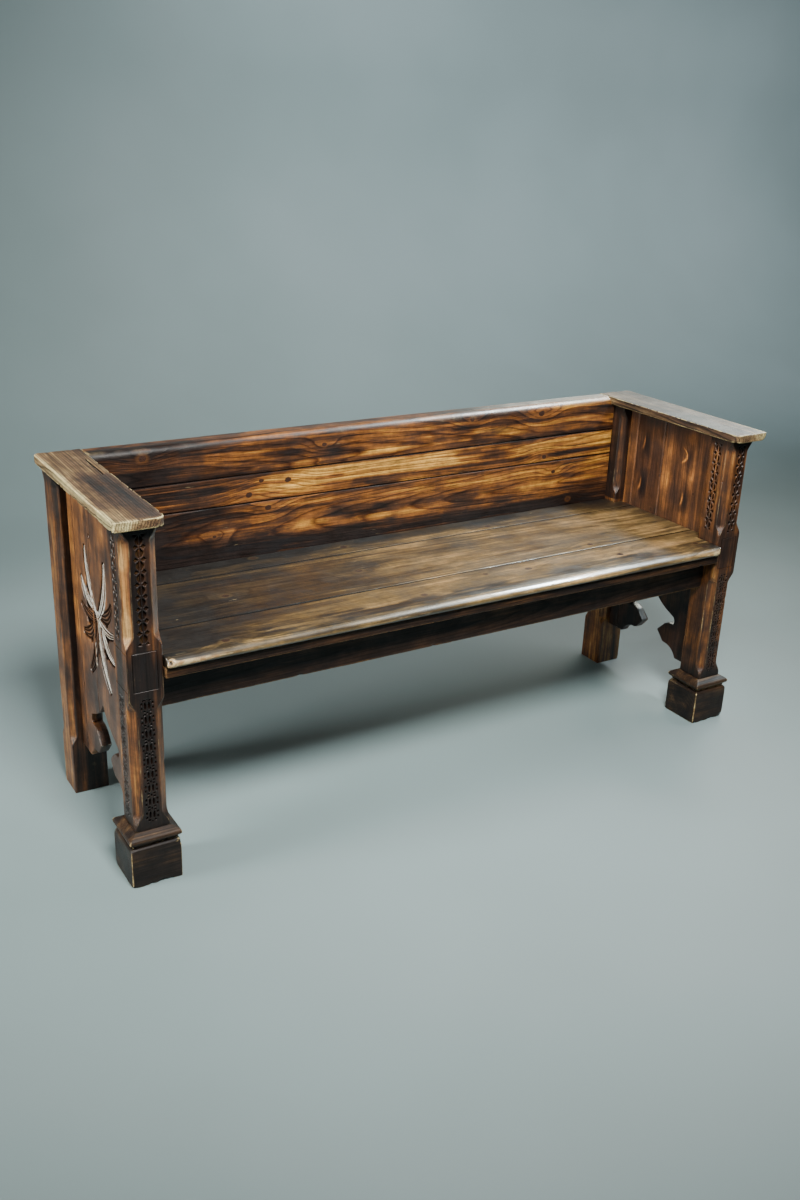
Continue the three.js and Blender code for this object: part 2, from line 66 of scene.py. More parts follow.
def lattice(cell, seed):
    """Repeatable value from 0 to 1 for each whole-number point of an (n, 3) array."""
    c = cell.astype(np.uint64)
    primes = np.array([73856093, 19349663, 83492791], np.uint64)
    mask = np.uint64(0xFFFFFFFF)
    n = np.bitwise_xor.reduce((c * primes) & mask, axis=1)
    n = (n ^ np.uint64((seed * 2654435761 + 97) % 4294967296)) & mask
    n = ((n ^ (n >> np.uint64(15))) * np.uint64(2246822519)) & mask
    n = ((n ^ (n >> np.uint64(13))) * np.uint64(3266489917)) & mask
    return ((n ^ (n >> np.uint64(16))) & np.uint64(0xFFFF)).astype(float) / 65535.0


def noise(p, size, seed):
    """Smooth noise from -1 to 1 at points p; size is the feature size along each axis."""
    q = p / np.asarray(size, float)
    cell = np.floor(q).astype(np.int64)
    f = q - cell
    f = f * f * (3.0 - 2.0 * f)
    total = np.zeros(len(p))
    for dx in (0, 1):
        for dy in (0, 1):
            for dz in (0, 1):
                corner = lattice(cell + np.array([dx, dy, dz]), seed)
                wx = f[:, 0] if dx else 1.0 - f[:, 0]
                wy = f[:, 1] if dy else 1.0 - f[:, 1]
                wz = f[:, 2] if dz else 1.0 - f[:, 2]
                total += corner * wx * wy * wz
    return total * 2.0 - 1.0


def layered(p, size, seed, layers=3):
    """Noise with finer layers on top, from about -1 to 1."""
    total, weight, size = 0.0, 1.0, np.asarray(size, float)
    for layer in range(layers):
        total = total + weight * noise(p, size, seed + layer)
        size, weight = size / 2.0, weight / 2.0
    return total / 1.5


def relaxed(co, links, rounds):
    """Each point moved towards the middle of its neighbours; flat areas stay put."""
    n = len(co)
    a, b = links[:, 0], links[:, 1]
    share = np.bincount(a, minlength=n) + np.bincount(b, minlength=n)
    share = np.maximum(share, 1)[:, None]
    for _ in range(rounds):
        near = np.stack([
            np.bincount(a, weights=co[b, k], minlength=n)
            + np.bincount(b, weights=co[a, k], minlength=n) for k in range(3)], axis=1)
        co = 0.5 * co + 0.5 * near / share
    return co


# ------------------------------------------------------------------- mesh tools

def points_of(mesh):
    co = np.empty(len(mesh.vertices) * 3, np.float32)
    mesh.vertices.foreach_get("co", co)
    return co.reshape(-1, 3).astype(float) / MM


def set_points(mesh, co):
    mesh.vertices.foreach_set("co", (co * MM).astype(np.float32).ravel())
    mesh.update()


def normals_of(mesh):
    n = np.empty(len(mesh.vertices) * 3, np.float32)
    mesh.vertex_normals.foreach_get("vector", n)
    return n.reshape(-1, 3).astype(float)


def links_of(mesh):
    links = np.empty(len(mesh.edges) * 2, np.int32)
    mesh.edges.foreach_get("vertices", links)
    return links.reshape(-1, 2)


def dense_mesh(node, voxel):
    """The CAD node's shape as an even mesh of small quads, held to the CAD surface."""
    source = bpy.data.objects.new("dense_source", NODES[node].data.copy())
    guide = bpy.data.objects.new("dense_guide", NODES[node].data.copy())
    for o in (source, guide):
        bpy.context.scene.collection.objects.link(o)
    remesh = source.modifiers.new("remesh", "REMESH")
    remesh.mode = "VOXEL"
    remesh.voxel_size = voxel * MM
    remesh.adaptivity = 0.0
    wrap = source.modifiers.new("wrap", "SHRINKWRAP")
    wrap.target = guide
    wrap.wrap_method = "NEAREST_SURFACEPOINT"
    graph = bpy.context.evaluated_depsgraph_get()
    mesh = bpy.data.meshes.new_from_object(source.evaluated_get(graph))
    for o in (source, guide):
        spare = o.data
        bpy.data.objects.remove(o)
        bpy.data.meshes.remove(spare)
    mesh.materials.clear()
    for attribute in [a.name for a in mesh.attributes if not a.is_required]:
        mesh.attributes.remove(mesh.attributes[attribute])
    return mesh


def refine(mesh, inside, cuts):
    """Splits the quads whose centre and normal pass `inside` into smaller ones."""
    bm = bmesh.new()
    bm.from_mesh(mesh)
    chosen = [f for f in bm.faces if inside(f.calc_center_median() / MM, f.normal)]
    edges = list({e for f in chosen for e in f.edges})
    bmesh.ops.subdivide_edges(bm, edges=edges, cuts=cuts, use_grid_fill=True)
    bm.to_mesh(mesh)
    bm.free()
    mesh.update()


def grid_mesh(name, rings):
    """A closed bar through rings of points, (levels, around, 3), with flat ends."""
    levels, around, _ = rings.shape
    level, step = np.meshgrid(np.arange(levels - 1), np.arange(around), indexing="ij")
    after = (step + 1) % around
    quads = np.stack([level * around + step, level * around + after,
                      (level + 1) * around + after, (level + 1) * around + step], axis=-1)
    faces = [tuple(q) for q in quads.reshape(-1, 4).tolist()]
    faces.append(tuple(range(around - 1, -1, -1)))
    faces.append(tuple(range((levels - 1) * around, levels * around)))
    mesh = bpy.data.meshes.new(name)
    mesh.from_pydata((rings.reshape(-1, 3) * MM).tolist(), [], faces)
    mesh.update()
    return mesh


# ------------------------------------------------------------------ timber model

def knot_distance(p, axes, knots):
    """Distance to the nearest knot, in knot radii, and how far the rings swerve."""
    along, across = axes[0], axes[1]
    nearest = np.full(len(p), 4.0)
    swerve = np.zeros(len(p))
    for length_at, across_at, radius in knots:
        dl = (p[:, along] - length_at) / (radius * 0.8)
        dc = (p[:, across] - across_at) / (radius * 0.6)
        d = np.hypot(dl, dc)
        nearest = np.minimum(nearest, d)
        dl = (p[:, along] - length_at) / (radius * 5.5)
        dc = (p[:, across] - across_at) / (radius * 2.6)
        swerve += radius * 1.3 * np.exp(-(dl * dl + dc * dc))
    return nearest, swerve


def growth_rings(p, box, axes, timber, swerve):
    """Distance from the log's heart, in ring widths, at each point of a board."""
    along, across, depth = axes
    mid = (box[0] + box[1]) / 2.0
    run = p[:, along] - mid[along]
    seed = timber["seed"]
    stretch = np.full(3, 42.0)
    stretch[along] = 340.0
    sway = timber.get("sway", 7.0)
    a = p[:, across] - mid[across] - timber["heart"][0]
    a = a - timber.get("drift", (0.0, 0.02))[0] * run + sway * noise(p, stretch, seed)
    b = p[:, depth] - mid[depth] - timber["heart"][1]
    b = b - timber.get("drift", (0.0, 0.02))[1] * run + 1.4 * sway * noise(p, stretch, seed + 5)
    fine = np.full(3, 9.0)
    fine[along] = 120.0
    radius = np.hypot(a, b) + 1.1 * noise(p, fine, seed + 9) + swerve
    return radius / timber.get("ring", 5.5)


def edge_values(co, mesh, links, rounds, reach):
    """How far each point stands out of, or sinks below, its surroundings."""
    proud = np.sum((co - relaxed(co, links, rounds)) * normals_of(mesh), axis=1) / reach
    return np.clip(proud, 0.0, 1.0), np.clip(-proud, 0.0, 1.0)


def dent_edges(co, normals, proud, count, seed, size):
    """Small bruises knocked into the arrises."""
    rng = np.random.default_rng(seed)
    candidates = np.flatnonzero(proud > 0.45)
    if len(candidates) == 0:
        return co
    for at in rng.choice(candidates, count):
        radius = size * rng.uniform(0.6, 1.8)
        depth = radius * rng.uniform(0.16, 0.34)
        d2 = np.sum((co - co[at]) ** 2, axis=1)
        near = d2 < (3.0 * radius) ** 2
        co[near] -= normals[near] * (depth * np.exp(-d2[near] / radius ** 2))[:, None]
    return co


def put_values(mesh, values):
    for name, data in values.items():
        layer = mesh.attributes.new(name, "FLOAT", "POINT")
        layer.data.foreach_set("value", np.asarray(data, np.float32))


def box_mm(node):
    low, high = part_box(node)
    return np.array(low) / MM, np.array(high) / MM


def show(name, mesh, node, material):
    obj = bpy.data.objects.new(name, mesh)
    bpy.context.scene.collection.objects.link(obj)
    mesh.polygons.foreach_set("use_smooth", np.ones(len(mesh.polygons), bool))
    mesh.materials.append(material)
    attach(obj, "root")
    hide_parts(node)
    return obj


def scattered_knots(node, axes, seed, count, sizes):
    """Knots (place along, place across, radius) at seeded places, clear of the board's edges."""
    low, high = box_mm(node)
    rng = np.random.default_rng(seed)
    along = rng.uniform(low[axes[0]] + 60.0, high[axes[0]] - 60.0, count)
    across = rng.uniform(low[axes[1]] + 12.0, high[axes[1]] - 12.0, count)
    return list(zip(along, across, rng.uniform(*sizes, count)))


DUBBED = ("seat_front_board",)      # pieces whose carving is a smooth rounding, not a cut


def wood_piece(node, material, axes, timber, voxel=2.5, knots=(), shade=None, wear=None,
               painted_glare=None, carve=None, dirt=None, fine_region=None, mesh=None, ease=2, dents=14,
               dent_size=3.5):
    """Builds the visible piece for one CAD node and gives it its timber's values."""
    ready = mesh is not None
    if not ready:
        mesh = dense_mesh(node, voxel)
    box = box_mm(node)
    if fine_region is not None:
        refine(mesh, *fine_region)
    co, links = points_of(mesh), links_of(mesh)
    seed = timber["seed"]
    if not ready:
        worn = 0.5 + 0.5 * noise(co, (37.0, 37.0, 37.0), seed + 40)[:, None]
        soft = relaxed(co, links, ease)
        co = co + (relaxed(soft, links, ease + 2) - soft) * worn + (soft - co)
    set_points(mesh, co)
    normals = normals_of(mesh)
    # On the carved ends this is a painted highlight: the glare on the tracery ribbons, added to the wear
    # value below.
    rubbed = painted_glare(co, normals) if painted_glare is not None else 0.0
    proud, _ = edge_values(co, mesh, links, 5, 1.1)
    allowed = wear(co, normals) if wear is not None else np.ones(len(co))
    co = dent_edges(co, normals, proud * (allowed > 0.3), dents, seed + 60, dent_size)
    depth = np.zeros(len(co))
    if carve is not None:
        depth = carve(co, normals)
    ripple = 0.14 * layered(co, (60.0, 60.0, 60.0), seed + 70, 2)
    co = co + normals * (ripple - depth)[:, None]
    set_points(mesh, co)
    proud, sunk = edge_values(co, mesh, links, 6, 1.0)
    knot, swerve = knot_distance(co, axes, knots)
    stretch = np.full(3, timber.get("streak", 26.0))
    stretch[axes[0]] = timber.get("streak_run", 420.0)
    stain = timber.get("stain", 0.5) + timber.get("patchy", 0.3) * layered(co, stretch, seed + 20)
    stain = stain + timber.get("burnt", 0.22) * layered(co, (95.0, 70.0, 45.0), seed + 31)
    # shade adds each piece's own stain marks and, on some pieces, painted shade, painted shadow, painted
    # highlight and painted sheen.
    if shade is not None:
        stain = stain + shade(co)
    filled = dirt(co) if dirt is not None else 0.0
    cut = 0.0 if node in DUBBED else np.clip(depth, 0.0, 6.0) / 4.5
    put_values(mesh, {
        "ring": growth_rings(co, box, axes, timber, swerve),
        "knot": knot, "stain": np.clip(stain, 0.0, 1.4),
        # wear is real edge wear, plus the painted glare on the tracery ribbons of the ends.
        "wear": np.clip(proud * allowed + rubbed, 0.0, 1.0),
        "sunk": np.clip(sunk + cut + filled - 1.2 * rubbed, 0.0, 1.0),
    })
    return show(node + "_wood", mesh, node, material)


# --------------------------------------------------------------------- materials

def tint(red, green, blue):
    """A colour given in display values from 0 to 255, as linear values."""
    def linear(v):
        v = v / 255.0
        return v / 12.92 if v <= 0.04045 else ((v + 0.055) / 1.055) ** 2.4
    return (linear(red), linear(green), linear(blue), 1.0)


class Tree:
    """Short names for the shader nodes that the materials use."""

    def __init__(self, name):
        self.material = bpy.data.materials.new(name)
        self.material.use_nodes = True
        self.nodes = self.material.node_tree.nodes
        self.links = self.material.node_tree.links
        self.shader = self.nodes["Principled BSDF"]

    def plug(self, socket, value):
        if isinstance(value, bpy.types.NodeSocket):
            self.links.new(value, socket)
        else:
            socket.default_value = value

    def value(self, name):
        node = self.nodes.new("ShaderNodeAttribute")
        node.attribute_name = name
        return node.outputs["Fac"]

    def place(self, scale=(1.0, 1.0, 1.0), turn=(0.0, 0.0, 0.0)):
        """Object coordinates, turned and then scaled."""
        coordinates = self.nodes.new("ShaderNodeTexCoord")
        mapping = self.nodes.new("ShaderNodeMapping")
        mapping.vector_type = "POINT"
        mapping.inputs["Scale"].default_value = scale
        mapping.inputs["Rotation"].default_value = turn
        self.links.new(coordinates.outputs["Object"], mapping.inputs["Vector"])
        return mapping.outputs["Vector"]

    def noise(self, vector, scale, detail=3.0, roughness=0.55, distortion=0.0):
        node = self.nodes.new("ShaderNodeTexNoise")
        self.links.new(vector, node.inputs["Vector"])
        node.inputs["Scale"].default_value = scale
        node.inputs["Detail"].default_value = detail
        node.inputs["Roughness"].default_value = roughness
        node.inputs["Distortion"].default_value = distortion
        return node.outputs[0]

    def random(self, value):
        node = self.nodes.new("ShaderNodeTexWhiteNoise")
        node.noise_dimensions = "1D"
        self.links.new(value, node.inputs["W"])
        return node.outputs["Value"]

    def math(self, operation, a, b=0.0, clamp=False):
        node = self.nodes.new("ShaderNodeMath")
        node.operation = operation
        node.use_clamp = clamp
        self.plug(node.inputs[0], a)
        self.plug(node.inputs[1], b)
        return node.outputs[0]

    def spread(self, value, low, high, to_low=0.0, to_high=1.0):
        """value from low..high onto to_low..to_high, smooth and clamped."""
        node = self.nodes.new("ShaderNodeMapRange")
        node.interpolation_type = "SMOOTHSTEP"
        self.plug(node.inputs[0], value)
        for slot, number in zip((1, 2, 3, 4), (low, high, to_low, to_high)):
            node.inputs[slot].default_value = number
        return node.outputs[0]

    def mix(self, factor, a, b, blend="MIX"):
        node = self.nodes.new("ShaderNodeMix")
        node.data_type = "RGBA"
        node.blend_type = blend
        self.plug(node.inputs[0], factor)
        self.plug(node.inputs[6], a)
        self.plug(node.inputs[7], b)
        return node.outputs[2]

    def colours(self, value, stops):
        node = self.nodes.new("ShaderNodeValToRGB")
        ramp_ = node.color_ramp
        while len(ramp_.elements) < len(stops):
            ramp_.elements.new(0.5)
        for element, (at, colour) in zip(ramp_.elements, stops):
            element.position = at
            element.color = colour
        self.links.new(value, node.inputs[0])
        return node.outputs[0]

    def bump(self, height, strength, distance, normal=None):
        node = self.nodes.new("ShaderNodeBump")
        node.inputs["Strength"].default_value = strength
        node.inputs["Distance"].default_value = distance
        self.links.new(height, node.inputs["Height"])
        if normal is not None:
            self.links.new(normal, node.inputs["Normal"])
        return node.outputs[0]


def grain_scale(along, fine, long):
    """Mapping scale whose features are long along one axis."""
    scale = [fine, fine, fine]
    scale[along] = long
    return scale


GREY = {level: (level, level, level, 1.0) for level in (0.0, 0.25, 1.0)}


def grain_fields(t, along, look):
    """The noises and the growth rings that the stain follows."""
    thread = grain_scale(along, 1.0, 0.03)
    drag = grain_scale(along, 1.0, look["smear_run"])
    fields = {
        "fibre": t.noise(t.place(grain_scale(along, 1.0, 0.025)), 430.0, 4.0, 0.7),
        "hair": t.noise(t.place(grain_scale(along, 1.0, 0.014)), 260.0, 3.0, 0.6),
        "mottle": t.noise(t.place(), 62.0, 6.0, 0.75),
        "strands": t.noise(t.place(thread), look["strand_scale"], 5.0, 0.62, 0.2),
        "smears": t.noise(t.place(drag), look["smear_scale"], 5.0, 0.6, 0.4),
        "soot": t.noise(t.place(drag, (0.0, 0.0, 0.02)), look["smear_scale"] * 0.83, 5.0, 0.64, 0.6),
        "blotch": t.noise(t.place(), 17.0, 5.0, 0.62),
        "speck": t.noise(t.place(), 95.0, 4.0, 0.7),
    }
    ring = t.math("ADD", t.value("ring"), t.math("MULTIPLY", fields["strands"], look["ragged"]))
    fields["year"] = t.random(t.math("FLOOR", ring))
    fields["late"] = t.colours(t.math("FRACT", ring), [
        (0.0, GREY[0.0]), (0.45, GREY[0.0]), (0.66, GREY[0.25]), (0.86, GREY[1.0]), (1.0, GREY[0.0])])
    return fields


def swing(t, total, field, much):
    """total, moved up and down by a field centred on one half."""
    return t.math("ADD", total, t.math("MULTIPLY", t.math("SUBTRACT", field, 0.5), much))


def stain_colour(t, fields, look):
    """Golden wood where the stain is thin, through amber and brown to near black."""
    stain = t.value("stain")
    for field in ("year", "strands", "smears", "blotch"):
        stain = swing(t, stain, fields[field], look[field])
    colour = t.colours(stain, [(0.0, look["pale"]), (0.2, look["gold"]), (0.42, look["amber"]),
                               (0.66, look["brown"]), (1.0, look["dark"])])
    line = t.mix(1.0, colour, look["line"], "MULTIPLY")
    colour = t.mix(t.math("MULTIPLY", fields["late"], look["late"]), colour, line)
    fibre = t.spread(fields["fibre"], 0.34, 0.66, look["fibre"], 1.2)
    hair = t.spread(fields["hair"], 0.56, 0.68, 1.0, look["hair"])
    mottle = t.spread(fields["mottle"], 0.3, 0.7, look["mottle"], 1.15)
    detail = t.math("MULTIPLY", t.math("MULTIPLY", fibre, hair), mottle)
    shade = t.nodes.new("ShaderNodeCombineColor")
    for channel in range(3):
        t.links.new(detail, shade.inputs[channel])
    colour = t.mix(1.0, colour, shade.outputs[0], "MULTIPLY")
    soot = t.math("MULTIPLY", t.spread(fields["soot"], 0.55, 0.70), look["soot"])
    return t.mix(soot, colour, look["black"])


def knot_colour(t, colour, fields, look):
    """A dark ringed knot with an amber halo."""
    knot = swing(t, swing(t, t.value("knot"), fields["speck"], 0.7), fields["strands"], 0.6)
    halo = t.spread(knot, 1.1, 2.3, 1.0, 0.0)
    colour = t.mix(t.math("MULTIPLY", halo, look["halo"]), colour, look["amber"])
    heart = t.mix(t.math("FRACT", t.math("MULTIPLY", knot, 3.3)), look["knot"], look["black"])
    return t.mix(t.spread(knot, 0.85, 1.12, 1.0, 0.0), colour, heart)


def scratch_colour(t, colour, fields, along, look):
    """Short pale scratches at slight angles, with a few chipped spots."""
    marks = t.spread(fields["speck"], 0.72, 0.77, 0.0, 0.9)
    for angle in (0.06, -0.15):
        lined_up = t.place(grain_scale(along, 1.0, 0.1), (angle, angle, angle))
        streak = t.noise(lined_up, 240.0, 2.0, 0.5)
        marks = t.math("MAXIMUM", marks, t.spread(streak, 0.72, 0.78, 0.0, 0.8))
    gate = t.spread(fields["blotch"], 0.5, 0.66)
    marks = t.math("MULTIPLY", marks, gate)
    return t.mix(t.math("MULTIPLY", marks, look["scratches"]), colour, look["worn"])


def stained_pine(name, along, look):
    """Stained, waxed and rubbed pine that follows the piece's own ring, knot and wear values."""
    t = Tree(name)
    fields = grain_fields(t, along, look)
    colour = stain_colour(t, fields, look)
    colour = knot_colour(t, colour, fields, look)
    worn = t.spread(swing(t, t.value("wear"), fields["blotch"], look["edge_break"]),
                    look["edge_from"], look["edge_from"] + 0.5)
    rubbed = t.mix(t.spread(fields["speck"], 0.4, 0.6), look["rubbed"], look["worn"])
    colour = t.mix(t.math("MULTIPLY", worn, look["edge_much"]), colour, rubbed)
    grimy = t.spread(swing(t, t.value("sunk"), fields["speck"], 0.25), 0.12, 0.62)
    colour = t.mix(t.math("MULTIPLY", grimy, look["grime_much"]), colour, look["grime"])
    if look["scratches"]:
        colour = scratch_colour(t, colour, fields, along, look)
    t.links.new(colour, t.shader.inputs["Base Color"])

    rough = t.spread(fields["blotch"], 0.3, 0.7, look["rough"][0], look["rough"][1])
    rough = t.math("ADD", rough, t.math("MULTIPLY", t.math("ADD", worn, grimy), 0.12))
    t.links.new(swing(t, rough, fields["fibre"], 0.18), t.shader.inputs["Roughness"])
    t.links.new(t.spread(grimy, 0.1, 0.9, look["specular"], 0.04), t.shader.inputs["Specular IOR Level"])
    t.links.new(t.spread(grimy, 0.1, 0.9, look["coat"], 0.0), t.shader.inputs["Coat Weight"])
    t.shader.inputs["Coat Roughness"].default_value = look["coat_rough"]

    height = t.math("ADD", t.math("MULTIPLY", fields["fibre"], 0.5),
                    t.math("MULTIPLY", fields["late"], look["ridge"]))
    height = t.math("ADD", height, t.math("MULTIPLY", fields["speck"], 0.35))
    t.links.new(t.bump(height, look["bump"], 0.0006), t.shader.inputs["Normal"])
    return t.material


BASE_LOOK = {
    "pale": tint(212, 166, 100), "gold": tint(186, 128, 62), "amber": tint(138, 82, 40),
    "brown": tint(80, 48, 31), "dark": tint(34, 24, 21), "black": tint(20, 18, 20),
    "line": tint(132, 98, 82), "knot": tint(70, 42, 26),
    "worn": tint(206, 184, 134), "rubbed": tint(150, 116, 74), "grime": tint(15, 12, 12),
    "year": 0.18, "strands": 0.5, "smears": 0.7, "blotch": 0.5, "late": 0.7, "ragged": 0.35,
    "soot": 0.85, "fibre": 0.5, "hair": 0.5, "mottle": 0.72,
    "strand_scale": 150.0, "smear_scale": 34.0, "smear_run": 0.16,
    "edge_from": 0.42, "edge_much": 0.6, "edge_break": 1.0, "grime_much": 0.92, "halo": 0.2,
    "scratches": 0.0, "rough": (0.36, 0.52), "specular": 0.4, "coat": 0.0, "coat_rough": 0.3,
    "ridge": 0.6, "bump": 0.4,
}


def look(**changes):
    return {**BASE_LOOK, **changes}


BACK_LOOK = look(
    pale=tint(222, 170, 84), gold=tint(194, 138, 60), amber=tint(142, 90, 42), brown=tint(82, 52, 32),
    late=0.85, line=tint(108, 72, 56), smears=0.8, strands=0.6, coat=0.14, coat_rough=0.3, specular=0.3,
    edge_much=0.35, edge_from=0.2, scratches=0.25)
SEAT_LOOK = look(
    pale=tint(220, 180, 126), gold=tint(178, 146, 96), amber=tint(126, 104, 64), brown=tint(76, 62, 41),
    dark=tint(34, 31, 28), worn=tint(220, 198, 150), rubbed=tint(178, 138, 92), scratches=0.75, 
    rough=(0.32, 0.46), coat=0.55, coat_rough=0.12, edge_much=0.75,
    late=0.35, smear_run=0.22, strands=0.32, smears=0.4, blotch=0.45, soot=0.5, fibre=0.6, hair=0.55)
POST_LOOK = look(
    pale=tint(204, 162, 104), gold=tint(172, 122, 66), amber=tint(126, 80, 42), brown=tint(76, 50, 34),
    smear_scale=62.0, strands=0.75, soot=0.75, edge_from=0.2, edge_much=0.8, edge_break=1.3, late=0.45,
    scratches=0.3)
PLINTH_LOOK = look(
    pale=tint(142, 118, 80), gold=tint(104, 80, 52), amber=tint(74, 55, 39), brown=tint(44, 34, 29),
    dark=tint(22, 19, 20), worn=tint(214, 192, 140), rubbed=tint(150, 120, 80), edge_from=0.24,
    edge_much=0.95, rough=(0.45, 0.62), edge_break=0.9, smear_scale=50.0, strands=0.3, smears=0.4,
    late=0.3, specular=0.25)
# On the ends the worn and rubbed colours are near white: on the tracery ribbons they paint the glare, a
# painted highlight; on the cusps' sawn edges they are wear.
PANEL_LOOK = look(
    pale=tint(226, 156, 78), gold=tint(158, 104, 58), amber=tint(110, 72, 44), brown=tint(76, 50, 36),
    dark=tint(32, 24, 23), strands=0.4, smears=0.45, late=0.35, year=0.1, coat=0.15, soot=0.7,
    worn=tint(232, 230, 222), rubbed=tint(196, 186, 168), edge_much=0.92, edge_from=0.3, edge_break=0.5)
APRON_LOOK = look(
    pale=tint(110, 78, 48), gold=tint(82, 56, 36), amber=tint(56, 40, 30), brown=tint(36, 28, 25),
    dark=tint(19, 17, 17), worn=tint(150, 112, 70), rubbed=tint(104, 72, 46), scratches=0.2,
    edge_much=0.6, specular=0.2, rough=(0.42, 0.6))
ARM_LOOK = look(
    pale=tint(218, 204, 150), gold=tint(170, 144, 102), amber=tint(124, 98, 68), brown=tint(84, 62, 46),
    dark=tint(44, 37, 35), worn=tint(228, 214, 160), rubbed=tint(186, 168, 118), knot=tint(58, 44, 34),
    line=tint(60, 44, 38), edge_from=0.2, edge_much=0.95, rough=(0.56, 0.72), late=0.9, ridge=1.0,
    bump=0.6, halo=0.2, soot=0.6, hair=0.35, ragged=0.5, scratches=0.7, specular=0.25)


def bare_pine(name, along):
    """Unfinished pine for the hidden cleats and bearers, read from the object's own coordinates."""
    t = Tree(name)
    across = t.place(grain_scale(along, 1.0, 0.05))
    rings = t.noise(across, 60.0, 3.0, 0.5, 0.6)
    fibre = t.noise(t.place(grain_scale(along, 1.0, 0.02)), 600.0, 3.0)
    soil = t.noise(t.place(), 9.0, 4.0)
    line = t.spread(t.math("FRACT", t.math("MULTIPLY", rings, 7.0)), 0.5, 0.95)
    colour = t.mix(line, tint(168, 132, 88), tint(122, 86, 52))
    colour = t.mix(t.spread(soil, 0.4, 0.75, 0.0, 0.6), colour, tint(72, 56, 42))
    t.links.new(colour, t.shader.inputs["Base Color"])
    t.links.new(t.spread(fibre, 0.3, 0.7, 0.62, 0.85), t.shader.inputs["Roughness"])
    t.links.new(t.bump(fibre, 0.4, 0.0005), t.shader.inputs["Normal"])
    return t.material


def dull_steel(name):
    t = Tree(name)
    spots = t.noise(t.place(), 420.0, 4.0, 0.7)
    colour = t.mix(t.spread(spots, 0.45, 0.65), tint(122, 120, 116), tint(84, 62, 48))
    t.links.new(colour, t.shader.inputs["Base Color"])
    t.links.new(t.spread(spots, 0.4, 0.7, 0.35, 0.7), t.shader.inputs["Roughness"])
    t.shader.inputs["Metallic"].default_value = 0.9
    t.links.new(t.bump(spots, 0.2, 0.0002), t.shader.inputs["Normal"])
    return t.material


BACK_PINE = stained_pine("back_pine", X, BACK_LOOK)
SEAT_PINE = stained_pine("seat_pine", X, SEAT_LOOK)
APRON_PINE = stained_pine("apron_pine", X, APRON_LOOK)
POST_PINE = stained_pine("post_pine", Z, POST_LOOK)
PANEL_PINE = stained_pine("panel_pine", Z, PANEL_LOOK)
PLINTH_PINE = stained_pine("plinth_pine", X, PLINTH_LOOK)
ARM_PINE = stained_pine("arm_pine", Y, ARM_LOOK)
BARE = {axis: bare_pine("bare_pine_" + "xyz"[axis], axis) for axis in (X, Y, Z)}
STEEL = dull_steel("dull_steel")


# -------------------------------------------------------------- carving on posts

LINE_HIGH, LINE_LOW = 497.0, 418.0      # incised lines round the plain middle of a front post
UPPER_BAND = (512.0, 728.0)             # chain of crossed strands
LOWER_BAND = (134.0, 402.0)             # chain of slits and petals
BAND_HALF = 13.5
BAND_SIDE_Y = -184.0                    # centre of the bands on the posts' side faces


def soft_cut(value, width):
    return np.clip(value / width, 0.0, 1.0)


def chain_of_strands(s, z):
    """Two crossing strands left standing, with a ridge in every eye between them."""
    low, high = UPPER_BAND
    pitch = 24.0
    swing = np.abs(np.sin(np.pi * (z - low) / pitch))
    strand = 9.6 * swing
    off = np.abs(s)
    eye = 4.6 * soft_cut(strand - 1.5 - off, 1.6) * soft_cut(off - 0.9, 1.2)
    nick = 3.6 * soft_cut(off - strand - 1.6, 1.4) * soft_cut(BAND_HALF - 0.5 - off - 7.5 * swing, 1.6)
    return np.maximum(eye, nick) * ((z > low) & (z < high))


def chain_of_petals(s, z):
    """Pairs of upright slits, with petals between the pairs and a nick at each side."""
    low, high = LOWER_BAND
    pitch = (high - low) / 9.0
    phase = (z - low) / pitch
    dz = (phase - np.floor(phase) - 0.5) * pitch
    off = np.abs(s)
    slit = 4.8 * soft_cut(1.0 - ((off - 3.9) / 2.5) ** 2 - (dz / 8.2) ** 2, 0.45)
    gap = pitch / 2.0 - np.abs(dz)
    petal = 3.8 * soft_cut(1.0 - ((off - 6.0) / 2.9) ** 2 - ((gap - 3.4) / 2.2) ** 2, 0.5)
    eye = 3.6 * soft_cut(1.0 - (off / 1.9) ** 2 - (gap / 2.8) ** 2, 0.5)
    nick = 3.2 * soft_cut(1.0 - ((off - 11.2) / 2.2) ** 2 - ((np.abs(dz) - 5.0) / 3.2) ** 2, 0.5)
    return np.maximum.reduce([slit, petal, eye, nick]) * ((z > low) & (z < high))


def incised(distance, width=1.3, depth=1.5):
    return depth * np.clip(1.0 - np.abs(distance) / width, 0.0, 1.0)


def band(s, z, upper=True, lower=True):
    cut = np.zeros(len(s))
    if upper:
        cut = np.maximum(cut, chain_of_strands(s, z))
    if lower:
        cut = np.maximum(cut, chain_of_petals(s, z))
    return cut


def front_face_cut(x, z):
    cut = band(x, z)
    frame_half = 24.0
    between = (z < LINE_HIGH) & (z > LINE_LOW)
    sides = incised(np.abs(x) - frame_half) * between
    rails = np.maximum(incised(z - LINE_HIGH), incised(z - LINE_LOW)) * (np.abs(x) < frame_half)
    return np.maximum(cut, np.maximum(sides, rails))


def outer_face_cut(y, z):
    lines = np.maximum(incised(z - LINE_HIGH), incised(z - LINE_LOW))
    return np.maximum(band(y - BAND_SIDE_Y, z), lines)


def inner_face_cut(y, z):
    return band(y - BAND_SIDE_Y, z, lower=False)


# --------------------------------------------------------------------- posts

def stopped(z, zones, size, run, least=1.3):
    """Width of a stopped chamfer at height z, with a curved lamb's tongue at each end."""
    width = np.full(len(z), least)
    for low, high in zones:
        swell = ramp(z, low, low + run) * ramp(-z, -high, -high + run)
        width = np.maximum(width, least + (size - least) * swell)
    return width


